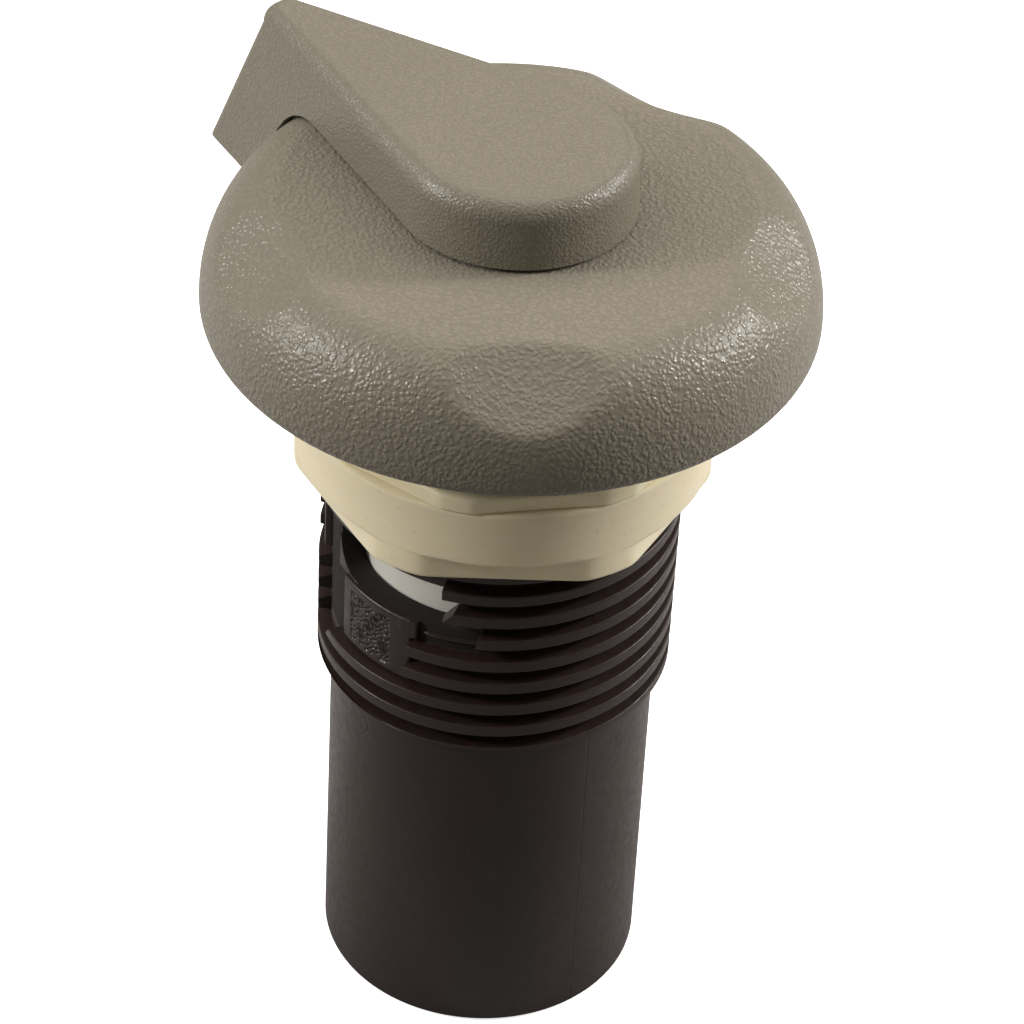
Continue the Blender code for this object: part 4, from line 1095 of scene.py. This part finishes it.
CAP_GREY, LEVER_GREY = (0.206, 0.182, 0.139), (0.198, 0.175, 0.134)
cap_grain = grained_plastic("grey_cap_grain", CAP_GREY, 1750.0, 0.8, 0.00008, 0.24)
lever_grain = grained_plastic("grey_lever_grain", LEVER_GREY, 2500.0, 0.9, 0.00005, 0.26)
black = black_moulding()
cream_nut, cream_ring, white, slippery = (
    pale_plastic(*values)
    for values in (
        ("cream_nut_plastic", (0.86, 0.77, 0.56), (0.81, 0.70, 0.45), 0.34, 0.00002, 0.35),
        ("cream_ring_plastic", (0.88, 0.79, 0.56), (0.83, 0.71, 0.44), 0.36, 0.00002, 0.35),
        ("white_rotor_plastic", (0.74, 0.72, 0.67), (0.70, 0.67, 0.60), 0.34, 0.00001, 0.2),
        ("washer_plastic", (0.80, 0.80, 0.78), (0.76, 0.76, 0.73), 0.32, 0.00001, 0.2),
    )
)
seal = rubber()
spring = metal("spring_steel", (0.40, 0.40, 0.41), 0.30)
bright = metal("screw_steel_bright", (0.60, 0.60, 0.61), 0.24)


def wear(made, body, slot, *nodes):
    """The piece rides on its body and stands for the solids it hides; its finish slot is not used.
    """
    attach(made, body)
    if nodes:
        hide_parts(*nodes)


def patch_relief(angle, height):
    """A plain moulded patch inside a soft border: short grooves in two crossed directions, bent
    by slow waves so that no two are alike."""
    u = (angle - PATCH_AT) * PAD_R
    v = height - PATCH_MIDDLE
    field = smooth_step(PATCH_HALF[0] - np.abs(u), 0.0, 0.2)
    field = field * smooth_step(PATCH_HALF[1] - np.abs(v), 0.0, 0.2)
    bent_u = u + 0.22 * np.sin(2.1 * v + 1.3 * u) + 0.12 * np.sin(5.3 * v)
    bent_v = v + 0.25 * np.sin(1.7 * u - 0.8 * v) + 0.10 * np.sin(4.4 * u + 1.0)
    first = np.cos(TAU * (0.85 * bent_u + 0.55 * bent_v) / 0.62)
    second = np.cos(TAU * (0.45 * bent_u - 0.9 * bent_v) / 0.74)
    share = 0.5 + 0.5 * np.sin(1.5 * u + 0.9) * np.sin(1.2 * v + 0.4)
    crossed = first * share + second * (1 - share) + 0.45 * first * second
    return -field * (0.04 + 0.15 * smooth_step(crossed, -0.2, 0.75))


# Housing: the barrel's block, pad and tab each go from one turn to another and from one height
# to another, with a rounded rim and a grid of columns and rows
PAD_TOP = WINDOW_SILL - 0.03
pads = [
    sector_block(outer, turns, heights, edge, *grid)
    for outer, turns, heights, edge, *grid in (
        (PAD_R, (PAD_FROM, PAD_TO), (PAD_LOW, PAD_TOP), 0.4, 118, 102, patch_relief),
        (PAD_R - 0.01, (PAD_TO - 0.03, TAB_TO), (TAB_LOW, PAD_TOP - 0.01), 0.38, 16, 14),
        (BLOCK_R, (BLOCK_FROM, math.radians(GROOVE_FROM)), (BLOCK_LOW, BLOCK_TOP), 0.25, 30, 40),
    )
]
plain = [*pads, corner_fill(-1.0), corner_fill(1.0)]
tube = body_tube()
ridges, crest_shares = barrel_thread()
before, after = tube[0].size // 3, sum(part[0].size // 3 for part in plain)
crest = np.concatenate([np.zeros(before), crest_shares, np.zeros(after)])
barrel_shape = stack_parts([tube, *ridges, *plain])
barrel = piece("threaded_barrel", barrel_shape, black, marks={"crest": crest})
wear(barrel, "housing", "black_moulding", "valve_body")
cap = piece("scalloped_cap", cap_shell(), cap_grain, 32.0)
wear(cap, "housing", "grey_cap_moulding", "escutcheon_cap")
gasket = piece("deck_seal", washer(*GASKET), seal)
wear(gasket, "housing", "black_rubber", "deck_gasket")
slide_ring = piece("thrust_ring", washer(*THRUST_RING), slippery)
wear(slide_ring, "housing", "thrust_washer_moulding", "thrust_washer")

# Rotor and lever
rotor = piece("ported_sleeve", stack_parts([rotor_tube(), rotor_stem()]), white)
wear(rotor, "rotor", "white_rotor_moulding", "rotor_sleeve")
for label, height in zip(("lower", "upper"), SEAL_ROWS):
    ring = piece(f"sleeve_seal_{label}", torus(*SLEEVE_SEAL, height), seal)
    wear(ring, "rotor", "black_rubber", f"rotor_o_ring_{label}")
wear(piece("boss_seal", torus(*BOSS_SEAL), seal), "rotor", "black_rubber", "stem_o_ring")
lever = piece("teardrop_lever", lever_shell(), lever_grain, 32.0)
wear(lever, "rotor", "grey_lever_moulding", "lever_handle")
hub = piece("lever_hub", washer(*LEVER_HUB), lever_grain)
wear(hub, "rotor", "grey_lever_moulding")
screw_seat = piece("screw_seat_washer", washer(*SCREW_SEAT, steps=96), bright)
wear(screw_seat, "rotor", "screw_steel", "screw_washer")

# Nut and slip washer
nut = piece("flanged_nut", nut_shell(), cream_nut, 30.0)
wear(nut, "nut", "cream_nut_moulding", "mounting_nut")
slip = piece("slip_ring", slip_ring(), cream_ring, 30.0)
wear(slip, "washer", "cream_washer_moulding", "slip_washer")

for node, finish in (("retaining_ring", spring), ("lever_screw", bright)):
    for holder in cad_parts[node].material_slots:
        holder.material = finish

# Floor. It looks white, and gives the valve little light back, so that its front stays as dark
# as it is between two side lights; what the valve mirrors of it is darker in front than behind.
floor_finish, tree, where = new_finish("pale_floor")
camera_ray, diffuse_ray = (
    add_node(tree, "LightPath").outputs[kind] for kind in ("Is Camera Ray", "Is Diffuse Ray")
)
tone = noise(tree, where["Object"], 2.0, 2.0)
pale = mixed(tree, tone, (0.93, 0.93, 0.93), (0.96, 0.96, 0.96))
forward = add_node(tree, "SeparateXYZ", {0: where["Object"]}).outputs[1]
behind = ramp(tree, forward, -0.065, 0.005)
mirrored = mixed(tree, behind, (0.155, 0.145, 0.14), (0.43, 0.41, 0.40))
unseen = mixed(tree, diffuse_ray, mirrored, (0.145, 0.133, 0.12))
inputs = {
    "Base Color": mixed(tree, camera_ray, unseen, pale),
    "Emission Color": mixed(tree, camera_ray, (0.0, 0.0, 0.0), pale),
    "Emission Strength": 0.8,
    "Roughness": 0.9,
}
feed(tree, tree.nodes["Principled BSDF"], inputs)
floor_mesh = bpy.data.meshes.new("floor")
FLOOR_HALF = 6.0
floor_corners = [(-1, -1), (1, -1), (1, 1), (-1, 1)]
floor_z = TUBE_END * MM - 0.0002
floor_points = [(x * FLOOR_HALF, y * FLOOR_HALF, floor_z) for x, y in floor_corners]
floor_mesh.from_pydata(floor_points, [], [(0, 1, 2, 3)])
floor_mesh.materials.append(floor_finish)
floor = add_object("floor", floor_mesh)

world = bpy.data.worlds.new("studio")
world.use_nodes = True
tree = world.node_tree
camera_ray = add_node(tree, "LightPath").outputs["Is Camera Ray"]
room = mixed(tree, camera_ray, (0.195, 0.186, 0.168), (1.0, 1.0, 1.0))
feed(tree, tree.nodes["Background"], {"Color": room})
bpy.context.scene.world = world


def soft_light(name, turn, rise, distance, size, power, mirrored=False):
    """A square panel that faces the valve, from degrees round it and degrees above it. Only a
    mirrored one shows as a glint."""
    lamp = bpy.data.lights.new(name, "AREA")
    lamp.shape = "SQUARE"
    lamp.size = size
    lamp.energy = power
    lamp.color = (1.0, 0.99, 0.97)
    holder = add_object(name, lamp)
    turn, rise = math.radians(turn), math.radians(rise)
    way = Vector((math.cos(turn) * math.cos(rise), math.sin(turn) * math.cos(rise), math.sin(rise)))
    holder.location = way * distance
    holder.rotation_euler = way.to_track_quat("Z", "Y").to_euler()
    holder.visible_glossy = mirrored


soft_light("left_key", -171.0, 24.5, 0.75, 0.10, 3.0, mirrored=True)
soft_light("right_key", 13.0, 26.0, 0.75, 0.11, 3.6, mirrored=True)
soft_light("left_fill", 172.0, 42.0, 0.85, 0.55, 3.6)
soft_light("right_fill", 6.0, 38.0, 0.85, 0.60, 4.1)
soft_light("top_panel", 90.0, 68.0, 0.95, 0.80, 4.3)

# Camera, fitted to the photograph: its place, its angles and its focal length in picture widths
EYE = (0.0, -0.3861, 0.2831)
PITCH_ANGLE, YAW, ROLL = 0.684, 0.004, 0.056
FOCAL_LENGTH = 3940.2 / 1024
level = math.cos(PITCH_ANGLE)
ahead = Vector((math.sin(YAW) * level, math.cos(YAW) * level, -math.sin(PITCH_ANGLE)))
right = Vector((math.cos(YAW), -math.sin(YAW), 0.0))
above = right.cross(ahead)
side = math.cos(ROLL) * right + math.sin(ROLL) * above
top = -math.sin(ROLL) * right + math.cos(ROLL) * above
view = bpy.data.cameras.new("photo_view")
view.sensor_width = 36.0
view.lens = FOCAL_LENGTH * view.sensor_width
camera = add_object("photo_view", view)
axes = Matrix((side, top, -ahead)).transposed().to_4x4()
camera.matrix_world = Matrix.Translation(EYE) @ axes
bpy.context.scene.camera = camera
bpy.context.scene.view_settings.view_transform = "Standard"
